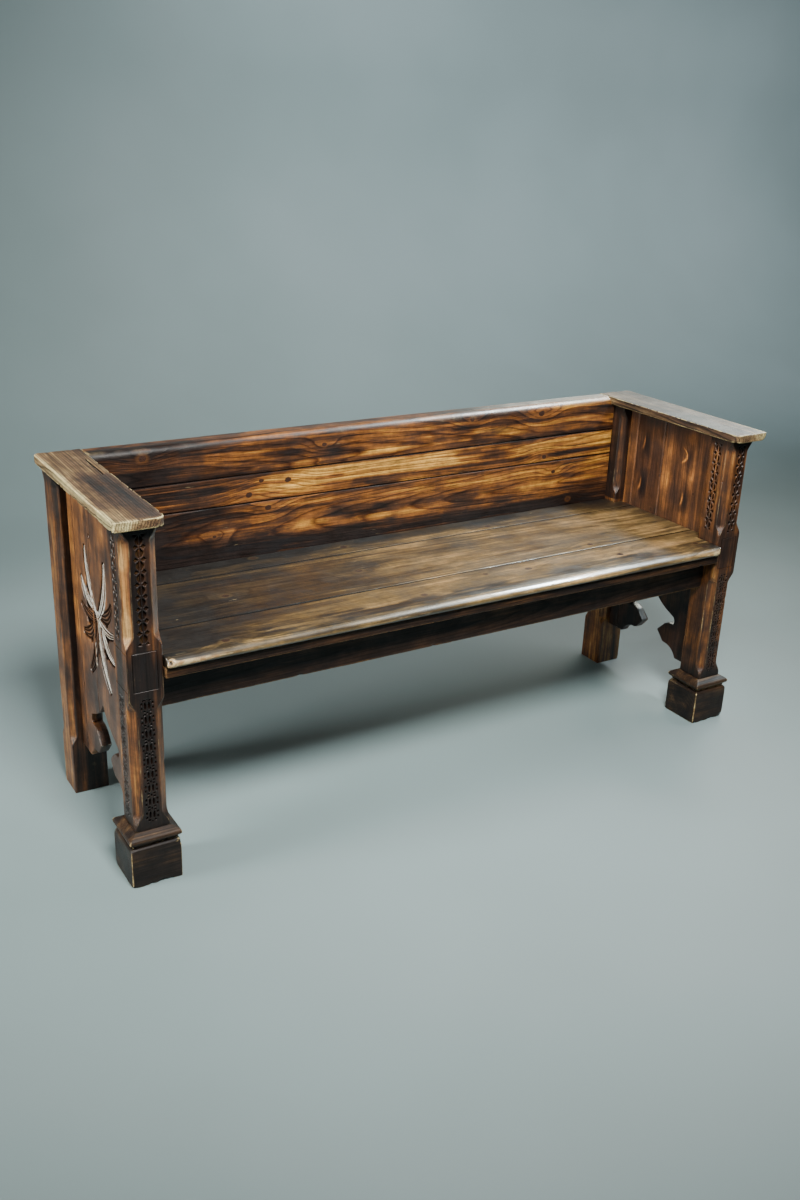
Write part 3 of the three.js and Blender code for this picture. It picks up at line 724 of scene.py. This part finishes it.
def bar_rings(low, high, levels, widths, counts):
    """Rings of a square bar whose four corners are cut off by widths[corner][level]."""
    corners = [(low[0], low[1]), (high[0], low[1]), (high[0], high[1]), (low[0], high[1])]
    steps = [(1, 0), (0, 1), (-1, 0), (0, -1)]
    loops = []
    for k in range(4):
        after = (k + 1) % 4
        start = np.array(corners[k]) + np.outer(widths[k], steps[k])
        end = np.array(corners[after]) - np.outer(widths[after], steps[k])
        for t in np.linspace(0.0, 1.0, counts[k]):
            loops.append(start * (1 - t) + end * t)
        ahead = np.array(corners[after]) + np.outer(widths[after], steps[after])
        cuts = 7
        for t in np.arange(1, cuts) / cuts:
            loops.append(end * (1 - t) + ahead * t)
    plan = np.stack(loops, axis=1)
    height = np.broadcast_to(levels[:, None, None], plan.shape[:2] + (1,))
    return np.concatenate([plan, height], axis=2)


def post_levels(low, high, step, fine_at=()):
    levels = set(np.round(np.linspace(low, high, int((high - low) / step) + 1), 3))
    for at in fine_at:
        levels |= set(np.round(at + np.arange(-2.0, 2.01, 0.5), 3))
    return np.array(sorted(levels))


def front_post(side, seed):
    node = ("left" if side < 0 else "right") + "_front_post"
    low, high = box_mm(node)
    foot = box_mm(node.replace("front_post", "plinth_collar"))[1][Z] + 0.3
    levels = post_levels(foot, high[Z], 1.3, (LINE_HIGH, LINE_LOW))
    zones = [(124.0, 404.0), (503.0, 742.0)]
    chamfer = stopped(levels, zones, 16.0, 30.0)
    arris = np.full(len(levels), 1.3)
    rings = bar_rings(low[:2], high[:2], levels, [chamfer, chamfer, arris, arris], (46, 58, 10, 58))
    mesh = grid_mesh(node + "_wood", rings)
    mid_x = (low[X] + high[X]) / 2.0

    def carve(co, normals):
        depth = np.zeros(len(co))
        front = normals[:, Y] < -0.85
        outer = normals[:, X] * side > 0.85
        inner = normals[:, X] * side < -0.85
        depth[front] = front_face_cut(co[front, X] - mid_x, co[front, Z])
        depth[outer] = outer_face_cut(co[outer, Y], co[outer, Z])
        depth[inner] = inner_face_cut(co[inner, Y], co[inner, Z])
        return depth

    def shade(co):
        off_x, off_y = np.abs(co[:, X] - mid_x), np.abs(co[:, Y] - BAND_SIDE_Y)
        on_front = ramp(-co[:, Y], -low[Y] - 2.5, -low[Y] - 0.8)
        on_side = ramp(off_x, 33.5, 34.6)
        face = 0.34 * on_front + 0.1 * on_side * (off_y < 24.0)
        face += 0.26 * on_front * ramp(-off_x, -19.0, -11.0) + 0.3 * on_side * ramp(-off_y, -19.0, -12.0)
        # Painted highlight: the chamfer on the outer side of the left post, from the seat up, is lighter
        # where the lamp from the left falls.
        lit = (side < 0) * (co[:, X] < mid_x) * ramp(co[:, Z], 480.0, 520.0)
        golden = (0.5 * lit - 0.06) * (1.0 - on_front) * (1.0 - on_side)
        face += 0.2 * on_front * (co[:, Z] > LINE_LOW) * (co[:, Z] < LINE_HIGH) * (off_x < 24.0)
        # Painted shadow of the armrest: the top of the post, just under the armrest, is darker. The foot
        # just above the collar is darker too.
        ends = 0.6 * ramp(co[:, Z], 700.0, 742.0) + 0.5 * ramp(-co[:, Z], -165.0, -118.0)
        return (face if side < 0 else 0.3 * face) - golden + ends - 0.04

    def wear(co, normals):
        arris = np.maximum(np.abs(co[:, X] - mid_x), np.abs(co[:, Y] - (low[Y] + high[Y]) / 2.0)) > 17.0
        carved = (np.abs(co[:, X] - mid_x) < 15.0) | (np.abs(co[:, Y] - BAND_SIDE_Y) < 15.0)
        stopped_edge = np.abs(co[:, X] - mid_x) + np.abs(co[:, Y] - (low[Y] + high[Y]) / 2.0) < 63.0
        return np.where(carved, 0.12, np.where(stopped_edge, 0.5, 1.0)) * arris

    timber = {"seed": seed, "heart": (14.0 * side, 34.0), "ring": 4.6, "stain": 0.5, "patchy": 0.3,
              "streak": 15.0, "streak_run": 260.0, "sway": 5.0}
    return wood_piece(node, POST_PINE, (Z, X, Y), timber, carve=carve, shade=shade,
                      wear=wear, mesh=mesh, dents=16)


def rear_post(side, seed):
    node = ("left" if side < 0 else "right") + "_rear_post"
    low, high = box_mm(node)
    levels = post_levels(low[Z], high[Z], 2.0)
    size, run = 14.0, 26.0
    full = stopped(levels, [(118.0, 734.0)], size, run)
    split = stopped(levels, [(118.0, 440.0), (501.0, 734.0)], size, run)
    below = stopped(levels, [(118.0, 440.0)], size, run)
    if side > 0:
        widths = [split, full, full, below]
    else:
        widths = [full, split, below, full]
    rings = bar_rings(low[:2], high[:2], levels, widths, (32, 30, 32, 30))
    mesh = grid_mesh(node + "_wood", rings)

    def shade(co):
        front = 0.35 * ramp(-co[:, Y], -low[Y] - 2.5, -low[Y] - 0.8)
        # Painted shadow of the armrest: the top of the post, just under the armrest, is darker.
        top = 0.5 * ramp(co[:, Z], 705.0, 742.0)
        # Painted shade: the inner side of the right rear post, from the seat up, is darker.
        painted_inner_shade = 0.4 * (side > 0) * ramp(-co[:, X], -high[X] + 6.0, -low[X] - 2.0) * (co[:, Z] > 490.0)
        return front * (0.3 if side > 0 else 1.0) + top + painted_inner_shade - 0.04

    timber = {"seed": seed, "heart": (-20.0 * side, 28.0), "ring": 5.0, "stain": 0.46, "patchy": 0.5,
              "streak": 14.0, "streak_run": 380.0, "sway": 6.0}

    def wear(co, normals):
        return np.where((co[:, X] * side > low[X] * side) & (normals[:, X] * side > 0.0), 0.8, 0.25)

    return wood_piece(node, POST_PINE, (Z, X, Y), timber, shade=shade, wear=wear, mesh=mesh,
                      dents=18)


# ------------------------------------------------------------- tracery on the ends

SPRAY_CENTRE = (0.0, 480.0)               # where the leaves cross: y and z
SPRAY_REACH = (98.0, 166.0)               # towards the front or rear, and up or down
LEAF_FIRST, LEAF_STEP = 24.0, 33.0        # degrees from upright
LEAF_START, LEAF_STAGGER = 5.0, 24.0      # every other leaf starts further out
LEAF_HALF, LEAF_SWELL = 9.5, 5.0          # half width, and how much more an upright leaf has
LEAF_BOW = 0.1
HOLLOW_SIZE, HOLLOW_OUT = 12.0, 0.58       # radius, and share of the reach
HOLLOW_DEPTH = 8.5
# How far each leaf is painted pale as a painted highlight of glare, from the top down, on the rear side
# and on the front side.
REAR_PAINTED_GLARE = (1.0, 1.0, 0.1, 0.1, 0.12)
FRONT_PAINTED_GLARE = (1.0, 0.1, 0.7, 0.8, 1.0)
PEG_HOLE = (20.0, 650.0, 4.0)              # y, z and radius
FIELD = (-112.0, 112.0, 296.0, 660.0)


def spray_reach(angle):
    """How far from the centre the spray goes in a direction; its outline is an ellipse."""
    return 1.0 / math.hypot(math.sin(angle) / SPRAY_REACH[0], math.cos(angle) / SPRAY_REACH[1])


def spray_point(angle, way, distance, aside=0.0):
    y = SPRAY_CENTRE[0] + way * (math.sin(angle) * distance + math.cos(angle) * aside)
    z = SPRAY_CENTRE[1] + math.cos(angle) * distance - math.sin(angle) * aside
    return y, z


def spray():
    """The bowed leaves (half width, share of painted glare, centre line) and the places of the deep
    hollows.
    """
    leaves, hollows = [], []
    along = np.linspace(0.0, 1.0, 30)
    for way, painted_glare_shares in ((1, REAR_PAINTED_GLARE), (-1, FRONT_PAINTED_GLARE)):
        for k, painted_glare in enumerate(painted_glare_shares):
            angle = math.radians(LEAF_FIRST + k * LEAF_STEP)
            reach = spray_reach(angle)
            start = LEAF_START + LEAF_STAGGER * (k % 2)
            distance = start + (reach - start) * along
            bow = LEAF_BOW * reach * 4.0 * along * (1.0 - along)
            line = np.stack(spray_point(angle, way, distance, bow), axis=1)
            leaves.append((LEAF_HALF + LEAF_SWELL * abs(math.cos(angle)), painted_glare, line))
            if k > 0:
                middle = angle - math.radians(LEAF_STEP / 2)
                hollows.append(spray_point(middle, way, HOLLOW_OUT * spray_reach(middle)))
    return leaves, hollows


LEAVES, HOLLOWS = spray()


def line_distance(y, z, line):
    """Distance to a curve and how far along it, from 0 to 1, the nearest point is."""
    best = np.full(len(y), 1e9)
    where = np.zeros(len(y))
    for k in range(len(line) - 1):
        a, b = line[k], line[k + 1]
        step = b - a
        t = np.clip(((y - a[0]) * step[0] + (z - a[1]) * step[1]) / (step @ step), 0.0, 1.0)
        d = np.hypot(y - a[0] - t * step[0], z - a[1] - t * step[1])
        closer = d < best
        best[closer] = d[closer]
        where[closer] = ((k + t) / (len(line) - 1))[closer]
    return best, where


def ribbons_at(y, z):
    """For each point: how far outside the nearest ribbon it is, the place across it, and its number."""
    nearest = np.full(len(y), 1e9)
    across = np.zeros(len(y))
    number = np.zeros(len(y), int)
    for k, (half, _, line) in enumerate(LEAVES):
        d, where = line_distance(y, z, line)
        width = half * (0.3 + 0.7 * np.clip(np.sin(np.pi * (0.1 + 0.8 * where)), 0.0, 1.0))
        over = d - width < nearest
        across[over] = (d / width)[over]
        number[over] = k
        nearest[over] = (d - width)[over]
    return nearest, across, number


def hollows_at(y, z):
    """1 inside the deep hollows, 0 outside."""
    inside = np.zeros(len(y))
    for at_y, at_z in HOLLOWS:
        off = np.hypot(y - at_y, z - at_z) / HOLLOW_SIZE
        inside = np.maximum(inside, ramp(-off, -1.25, -0.85))
    return inside


def tracery_cut(y, z):
    """Depth of the carving on the outer face of an end: grooved ribbons between deep hollows."""
    nearest, across, _ = ribbons_at(y, z)
    profile = 1.0 + 2.4 * (0.5 - 0.5 * np.cos(across * np.pi * 3.0)) + 2.0 * across ** 2
    ribbon = np.where(across < 1.0, profile, 0.0)
    rim = 3.4 * ramp(-nearest, -4.0, 0.0) * (nearest > 0.0)
    boss = np.hypot(y - SPRAY_CENTRE[0], z - SPRAY_CENTRE[1])
    ribbon = ribbon * ramp(boss, 2.0, 9.0)
    hollow = HOLLOW_DEPTH * hollows_at(y, z) * ramp(nearest, -2.0, 2.5)
    cut = np.maximum(np.where(nearest < 0.0, ribbon, rim), hollow)
    peg_y, peg_z, peg_r = PEG_HOLE
    peg = 7.0 * ramp(-np.hypot(y - peg_y, z - peg_z), -peg_r - 0.8, -peg_r)
    return np.maximum(cut, peg)


def tracery_painted_glare(side, co):
    """How far the ribbons' ridges are painted pale as a painted highlight of glare; joints and flat faces
    are not.
    """
    worn = np.zeros(len(co))
    outer = (co[:, X] * side > 752.0) & (co[:, Z] > FIELD[2]) & (co[:, Z] < FIELD[3])
    nearest, across, number = ribbons_at(co[outer, Y], co[outer, Z])
    much = np.array([painted_glare for _, painted_glare, _ in LEAVES])[number]
    ridge = 0.5 + 0.5 * np.cos(across * np.pi * 3.0)
    # Painted highlight: the ridges of the ribbons are made pale like glare, carried in the wear value.
    worn[outer] = np.where(nearest < 0.0, much * np.clip(1.35 * ridge - 0.12, 0.0, 1.15), 0.0)
    return worn


def cusp_wear(co, normals):
    """The sawn edges of the cusps are a little rubbed."""
    return 0.8 * (co[:, Z] < 420.0) * (np.abs(normals[:, X]) < 0.5)


def in_field(side):
    def inside(centre, normal):
        return (normal.x * side > 0.9 and FIELD[0] < centre.y < FIELD[1]
                and FIELD[2] < centre.z < FIELD[3])
    return inside


# Orange flares in the panels' inner faces, where a branch was cut through: y, z, size, hook.
FLARE_COLUMNS = (-60.0, 98.0)
FLARE_ROWS = (660.0, 550.0)
FLARE_SIZE = 9.5
FLARE_HOOK = 0.4                          # only the upper mark of the front column is hooked


def flare_shade(y, z):
    """An orange hook or flame in a dark cloud for each flare."""
    total = np.zeros(len(y))
    for at_y, at_z in itertools.product(FLARE_COLUMNS, FLARE_ROWS):
        hook = FLARE_HOOK if (at_y, at_z) == (FLARE_COLUMNS[0], FLARE_ROWS[0]) else 0.08
        dy, dz = (y - at_y) / FLARE_SIZE, (z - at_z) / FLARE_SIZE
        total += 0.6 * np.exp(-((dy + 0.9) / 1.4) ** 2 - (dz / 3.4) ** 2)
        bend = dy - hook * dz ** 2 + 0.12 * dz
        width = 0.26 + 0.16 * np.clip(0.5 - 0.4 * dz, 0.0, 1.0)
        total -= 0.85 * np.exp(-(bend / width) ** 2 - (dz / 1.9) ** 4)
    return total


def panel_board(side, part, seed, heart, knot_count=0):
    node = ("left_" if side < 0 else "right_") + part
    knots = scattered_knots(node, (Z, Y), seed, knot_count, (5.0, 7.0))

    def carve(co, normals):
        depth = np.zeros(len(co))
        outer = normals[:, X] * side > 0.6
        depth[outer] = tracery_cut(co[outer, Y], co[outer, Z])
        return depth

    def shade(co):
        inside = co[:, X] * side < 754.0
        y, z = co[:, Y], co[:, Z]
        marks = flare_shade(y, z) - 0.16 * np.exp(-((y - 12.0) / 34.0) ** 2 - ((z - 610.0) / 80.0) ** 2)
        # Painted shade under the seat: the inner face is darker below the seat.
        painted_shade_under_seat = 0.35 * ramp(-z, -440.0, -380.0)
        outside = -0.16 + 0.2 * ramp(-z, -420.0, -360.0)
        # Painted shadow of the armrest: the top of the end, under the armrest, is darker.
        return np.where(inside, marks + painted_shade_under_seat, outside) + 0.45 * ramp(z, 700.0, 742.0)

    def wear(co, normals):
        return cusp_wear(co, normals)

    # Painted highlight: the glare on the tracery ribbons of the outer face.
    def painted_glare(co, normals):
        return tracery_painted_glare(side, co)

    carved = part != "panel_fillet"
    timber = {"seed": seed, "heart": heart, "ring": 7.0, "stain": 0.47, "patchy": 0.3, "streak": 20.0,
              "streak_run": 300.0, "sway": 9.0, "drift": (0.03, 0.05)}
    return wood_piece(node, PANEL_PINE, (Z, Y, X), timber, voxel=2.2, knots=knots,
                      shade=shade,
                      wear=wear, painted_glare=painted_glare if carved else None, carve=carve if carved else None,
                      fine_region=(in_field(side), 1) if carved else None, ease=1, dents=10)


# ----------------------------------------------------------------- build the ends

for side, seed in ((-1, 100), (1, 200)):
    end = "left_" if side < 0 else "right_"
    front_post(side, seed + 1)
    rear_post(side, seed + 2)
    panel_board(side, "panel_front_board", seed + 3, (-18.0, -30.0 * side), knot_count=1)
    panel_board(side, "panel_rear_board", seed + 4, (22.0, -36.0 * side), knot_count=3)
    panel_board(side, "panel_fillet", seed + 5, (40.0, -20.0 * side))
    plinth_timber = {"seed": seed + 6, "heart": (12.0, -60.0), "ring": 5.0, "stain": 0.74, "patchy": 0.3,
                     "streak": 20.0, "streak_run": 160.0}
    wood_piece(end + "plinth_block", PLINTH_PINE, (X, Y, Z), plinth_timber, voxel=2.0,
               ease=2, dents=34, dent_size=4.0)
    collar_timber = {"seed": seed + 7, "heart": (30.0, -20.0), "ring": 4.0, "stain": 0.52, "patchy": 0.35,
                     "streak": 14.0, "streak_run": 160.0}
    wood_piece(end + "plinth_collar", PLINTH_PINE, (X, Y, Z), collar_timber, voxel=1.6,
               ease=1, dents=26, dent_size=2.6)

# ---------------------------------------------------------------------- armrests

SPLIT = {"x": -721.0, "y": (42.0, 170.0)}     # long split in the left armrest's top


def armrest(side, seed):
    node = ("left" if side < 0 else "right") + "_armrest"
    low, _ = box_mm(node)

    def carve(co, normals):
        if side > 0:
            return np.zeros(len(co))
        y0, y1 = SPLIT["y"]
        wander = 1.2 * noise(co, (9.0, 30.0, 9.0), seed)
        off = np.abs(co[:, X] - SPLIT["x"] - 0.012 * (co[:, Y] - y0) - wander)
        inside = ramp(co[:, Y], y0, y0 + 12.0) * ramp(-co[:, Y], -y1, -y1 + 12.0)
        return 2.2 * np.clip(1.0 - off / 2.2, 0.0, 1.0) * inside * (normals[:, Z] > 0.7)

    def shade(co):
        outward = (co[:, X] * side - 704.0) / 99.0
        forward = ramp(-co[:, Y], 120.0, 240.0)
        dark = 0.34 * np.exp(-((outward - 0.25) / 0.3) ** 2) * ramp(-co[:, Y], -140.0, 40.0)
        rim = 0.55 * ramp(outward, 0.9, 0.97) + 0.34 * ramp(-co[:, Y], 234.0, 252.0)
        # Painted shade: the underside of the armrest is darker.
        painted_underside_shade = 0.25 * (co[:, Z] < low[Z] + 2.0)
        return dark - rim * (0.5 + 0.5 * forward) - 0.1 * forward + painted_underside_shade

    timber = {"seed": seed, "heart": (-150.0 * side, -40.0), "ring": 5.2, "stain": 0.56, "patchy": 0.3,
              "streak": 15.0, "streak_run": 240.0, "sway": 3.0, "drift": (0.02, 0.02)}
    return wood_piece(node, ARM_PINE, (Y, X, Z), timber, voxel=2.0, carve=carve, shade=shade,
                      ease=2, dents=46, dent_size=3.4)


armrest(-1, 301)
armrest(1, 302)

# -------------------------------------------------------------------------- back

def back_shade(co):
    """The left end and the foot of the back are darker, and golden bands are rubbed along it."""
    x, y, z = co[:, X], co[:, Y], co[:, Z]
    dark = 0.42 * ramp(-x, 180.0, 640.0) + 0.6 * ramp(-z, -540.0, -486.0)
    golden = 0.36 * ramp(z, 628.0, 650.0) * ramp(-z, -678.0, -668.0) * ramp(x, -350.0, -100.0)
    golden += 0.24 * np.exp(-((z - 585.0) / 16.0) ** 2) * np.exp(-((x - 130.0) / 260.0) ** 2)
    golden += 0.3 * np.exp(-((z - 705.0) / 18.0) ** 2) * ramp(x, -200.0, 200.0)
    patches = 0.5 * np.exp(-((x - 338.0) / 60.0) ** 2 - ((z - 645.0) / 9.0) ** 2)
    burns = 0.34 * ramp(layered(co, (120.0, 60.0, 26.0), 91), 0.1, 0.55)
    broken = ramp(layered(co, (160.0, 60.0, 60.0), 93), -0.1, 0.3)
    seam = 0.6 * np.exp(-((z - 612.0 - 0.03 * x) / 5.0) ** 2) * broken
    return np.where(y > 220.0, 0.08 + burns, dark - golden + patches + burns + seam)


def back_wear(co, normals):
    """Only the rounded top is rubbed; the joints stay dark."""
    return 1.0 * (co[:, Z] > 738.0)


def joint_dirt(across, low, high, width=1.8):
    """Dirt along the two long edges of a board, where it gathers in the joints."""
    return np.exp(-((across - low) / width) ** 2) + np.exp(-((across - high) / width) ** 2)


def back_board(node, seed, heart, drift, ring, stain):
    low, high = box_mm(node)

    def dirt(co):
        return joint_dirt(co[:, Z], low[Z], high[Z]) * (co[:, Z] < 735.0)

    knots = scattered_knots(node, (X, Z), seed, 4, (6.0, 12.0))
    timber = {"seed": seed, "heart": heart, "ring": ring, "stain": stain, "patchy": 0.34, "streak": 11.0,
              "burnt": 0.14, "streak_run": 300.0, "drift": drift, "sway": 5.0}
    return wood_piece(node, BACK_PINE, (X, Z, Y), timber, voxel=2.8, knots=knots,
                      shade=back_shade, dirt=dirt, wear=back_wear, ease=1, dents=16, dent_size=3.0)


back_board("back_top_rail", 401, (-26.0, 40.0), (0.004, 0.03), 5.0, 0.56)
back_board("back_middle_board", 402, (60.0, 46.0), (-0.02, 0.02), 5.0, 0.46)
back_board("back_lower_board", 403, (20.0, 52.0), (0.015, -0.035), 5.5, 0.5)

# -------------------------------------------------------------------------- seat

SEAT_DUB, SEAT_DUB_FROM, SEAT_DUB_RUN = 4.0, 216.0, 32.0


def seat_shade(co):
    """Darker along the back; painted shade on the left and on the underside, and a painted sheen on the
    right front; redder and streaked near the rubbed front edge.
    """
    x, y = co[:, X], co[:, Y]
    ends = 0.2 * ramp(np.abs(x), 600.0, 740.0)
    rear = 0.4 * ramp(y, 100.0, 190.0)
    # Painted shade: the left of the seat, behind its front edge, is darker, the shaded side of the
    # painted sheen below.
    left = 0.42 * ramp(-x, -60.0, 480.0) * ramp(y, -215.0, -130.0)
    # Painted shade: the underside and lower edges of the seat boards are darker.
    painted_underside_shade = 0.5 * (co[:, Z] < 466.0)
    # Painted sheen: the right front of the seat is lighter, standing in for a reflection.
    painted_sheen = 0.14 * ramp(x, -100.0, 450.0) * ramp(-y, -60.0, 160.0)
    clouds = 0.2 * layered(co, (150.0, 60.0, 60.0), 71) + 0.12 * layered(co, (60.0, 30.0, 60.0), 73)
    edge = np.exp(-((y + 206.0) / 24.0) ** 2)
    streaks = edge * (0.16 + 0.6 * ramp(layered(co, (70.0, 9.0, 30.0), 77), -0.1, 0.5))
    smudge = 0.5 * np.exp(-((x + 640.0) / 90.0) ** 2 - ((y + 190.0) / 34.0) ** 2)
    return ends + rear + left + painted_underside_shade + clouds + streaks + smudge - painted_sheen + 0.04


def seat_wear(co, normals):
    """The nose and the two front corners are rubbed; the joints between the boards are not."""
    nose = ramp(-co[:, Y], 236.0, 242.0)
    ends = np.maximum(ramp(-co[:, X], 560.0, 690.0), ramp(co[:, X], 640.0, 700.0))
    return nose * (0.6 + 1.4 * ends)


def seat_dip(co, normals):
    """The front of the seat is rubbed down towards its nose."""
    forward = np.clip((-co[:, Y] - SEAT_DUB_FROM) / SEAT_DUB_RUN, 0.0, 1.0)
    return SEAT_DUB * forward ** 2 * np.clip(normals[:, Z], 0.0, 1.0)


def seat_board(node, seed, heart, drift, ring):
    low, high = box_mm(node)

    def dirt(co):
        return 1.1 * joint_dirt(co[:, Y], low[Y], high[Y], 2.4) * (co[:, Y] > -235.0)

    knots = scattered_knots(node, (X, Y), seed, 8 if node == "seat_front_board" else 3, (8.0, 12.0))
    timber = {"seed": seed, "heart": heart, "ring": ring, "stain": 0.4, "patchy": 0.24, "streak": 17.0,
              "burnt": 0.14, "streak_run": 380.0, "drift": drift, "sway": 8.0}
    return wood_piece(node, SEAT_PINE, (X, Y, Z), timber, voxel=2.8, knots=knots,
                      shade=seat_shade, dirt=dirt,
                      carve=seat_dip, wear=seat_wear, ease=1, dents=22, dent_size=3.6)


seat_board("seat_front_board", 501, (18.0, -44.0), (0.01, 0.03), 5.5)
seat_board("seat_middle_board", 502, (-12.0, -60.0), (-0.01, -0.03), 6.0)
seat_board("seat_rear_board", 503, (30.0, -40.0), (0.02, 0.02), 5.5)

# ------------------------------------------------------------- apron and bearer

apron_timber = {"seed": 601, "heart": (12.0, 40.0), "ring": 5.5, "stain": 0.55, "patchy": 0.3,
                "streak": 18.0, "streak_run": 300.0, "drift": (0.0, 0.03)}
wood_piece("front_apron", APRON_PINE, (X, Z, Y), apron_timber, voxel=2.8, ease=1, dents=26)
bearer_timber = dict(apron_timber, seed=602, heart=(8.0, -30.0), stain=0.4)
wood_piece("seat_front_bearer", APRON_PINE, (X, Y, Z), bearer_timber, voxel=2.8, ease=1,
           dents=20)

# ---------------------------------------------------- fixings kept as CAD pieces

HIDDEN_GRAIN = {"seat_cleat": Y, "seat_rear_ledger": X, "seat_centre_bearer": Y, "arm_dowel": Z}


def finish_cad_node(name, obj):
    material = STEEL if "screw" in name else None
    for part, axis in HIDDEN_GRAIN.items():
        if part in name:
            material = BARE[axis]
    obj.data.materials.clear()
    obj.data.materials.append(material)


for name, obj in NODES.items():
    if not obj.hide_render:
        finish_cad_node(name, obj)


# ------------------------------------------------------------------------- stage

def sweep_mesh(width, front, rear, radius, height):
    """Floor that curves up into a backdrop."""
    profile = [(front, 0.0), (rear - radius, 0.0)]
    for step in range(1, 17):
        angle = step / 16 * math.pi / 2
        profile.append((rear - radius + radius * math.sin(angle), radius - radius * math.cos(angle)))
    profile.append((rear, height))
    verts, faces = [], []
    for y, z in profile:
        verts += [(-width, y, z), (width, y, z)]
    for k in range(len(profile) - 1):
        faces.append((2 * k, 2 * k + 1, 2 * k + 3, 2 * k + 2))
    mesh = bpy.data.meshes.new("studio_sweep")
    mesh.from_pydata(verts, [], faces)
    mesh.update()
    return mesh


def stage_material():
    t = Tree("studio_paint")
    cloud = t.noise(t.place(), 0.9, 3.0)
    colour = t.mix(t.spread(cloud, 0.3, 0.7), tint(134, 156, 158), tint(141, 163, 166))
    t.links.new(colour, t.shader.inputs["Base Color"])
    t.shader.inputs["Roughness"].default_value = 0.75
    return t.material


sweep = bpy.data.objects.new("studio_sweep", sweep_mesh(9.0, -6.0, 3.4, 1.6, 6.0))
bpy.context.scene.collection.objects.link(sweep)
sweep.data.polygons.foreach_set("use_smooth", np.ones(len(sweep.data.polygons), bool))
sweep.data.materials.append(stage_material())


def soft_light(name, place, aim, size, power, colour, spread):
    data = bpy.data.lights.new(name, "AREA")
    data.shape = "RECTANGLE"
    data.size, data.size_y = size
    data.energy = power
    data.color = colour
    data.spread = math.radians(spread)
    obj = bpy.data.objects.new(name, data)
    obj.visible_camera = False
    obj.location = place
    direction = Vector(aim) - Vector(place)
    obj.rotation_euler = direction.to_track_quat("-Z", "Y").to_euler()
    bpy.context.scene.collection.objects.link(obj)
    return obj


def gloss_light(name, place, aim, size, power, colour=(0.96, 1.0, 0.86)):
    """A softbox that is only seen as a shine on the wax."""
    obj = soft_light(name, place, aim, size, power, colour, 180.0)
    obj.visible_diffuse = False


soft_light("key_box", (-0.7, -1.9, 2.95), (0.1, 0.95, 0.2), (0.9, 0.9), 58.0, (1.0, 0.97, 0.92), 86.0)
soft_light("left_box", (-3.4, 0.2, 1.4), (-0.7, 0.0, 0.5), (0.9, 1.2), 14.0, (1.0, 0.97, 0.92), 64.0)
soft_light("backdrop_box", (2.9, 2.2, 2.9), (3.1, 3.7, 0.3), (4.8, 0.9), 38.0, (1.0, 0.98, 1.0), 100.0)
gloss_light("left_gloss", (-3.2, -0.2, 1.5), (-0.7, 0.0, 0.45), (1.2, 1.4), 60.0)
gloss_light("right_gloss", (2.3, 0.9, 2.1), (0.3, 0.0, 0.5), (0.7, 0.7), 56.0)
gloss_light("nose_gloss", (1.4, -0.1, 2.1), (0.2, -0.24, 0.48), (1.0, 0.22), 220.0, (0.86, 0.98, 1.0))
gloss_light("rear_gloss", (2.4, 2.0, 1.5), (0.4, -0.1, 0.45), (1.3, 1.0), 20.0)

world = bpy.data.worlds.new("studio_air")
bpy.context.scene.world = world
world.use_nodes = True
world.node_tree.nodes["Background"].inputs["Color"].default_value = (0.62, 0.72, 0.78, 1.0)
world.node_tree.nodes["Background"].inputs["Strength"].default_value = 0.035


# ------------------------------------------------------------------------ camera

def photo_camera():
    place = Vector((-1.4054, -2.1625, 1.4314))
    yaw, pitch, roll = 0.5577, 0.3866, 0.0377
    ahead = Vector((math.sin(yaw) * math.cos(pitch), math.cos(yaw) * math.cos(pitch), -math.sin(pitch)))
    right = Vector((math.cos(yaw), -math.sin(yaw), 0.0))
    up = right.cross(ahead)
    turned_right = right * math.cos(roll) + up * math.sin(roll)
    turned_up = up * math.cos(roll) - right * math.sin(roll)
    data = bpy.data.cameras.new("camera")
    data.lens = 35.7
    data.sensor_width = 36.0
    obj = bpy.data.objects.new("camera", data)
    turn = Matrix((turned_right, turned_up, -ahead)).transposed().to_4x4()
    obj.matrix_world = Matrix.Translation(place) @ turn
    bpy.context.scene.collection.objects.link(obj)
    bpy.context.scene.camera = obj


photo_camera()
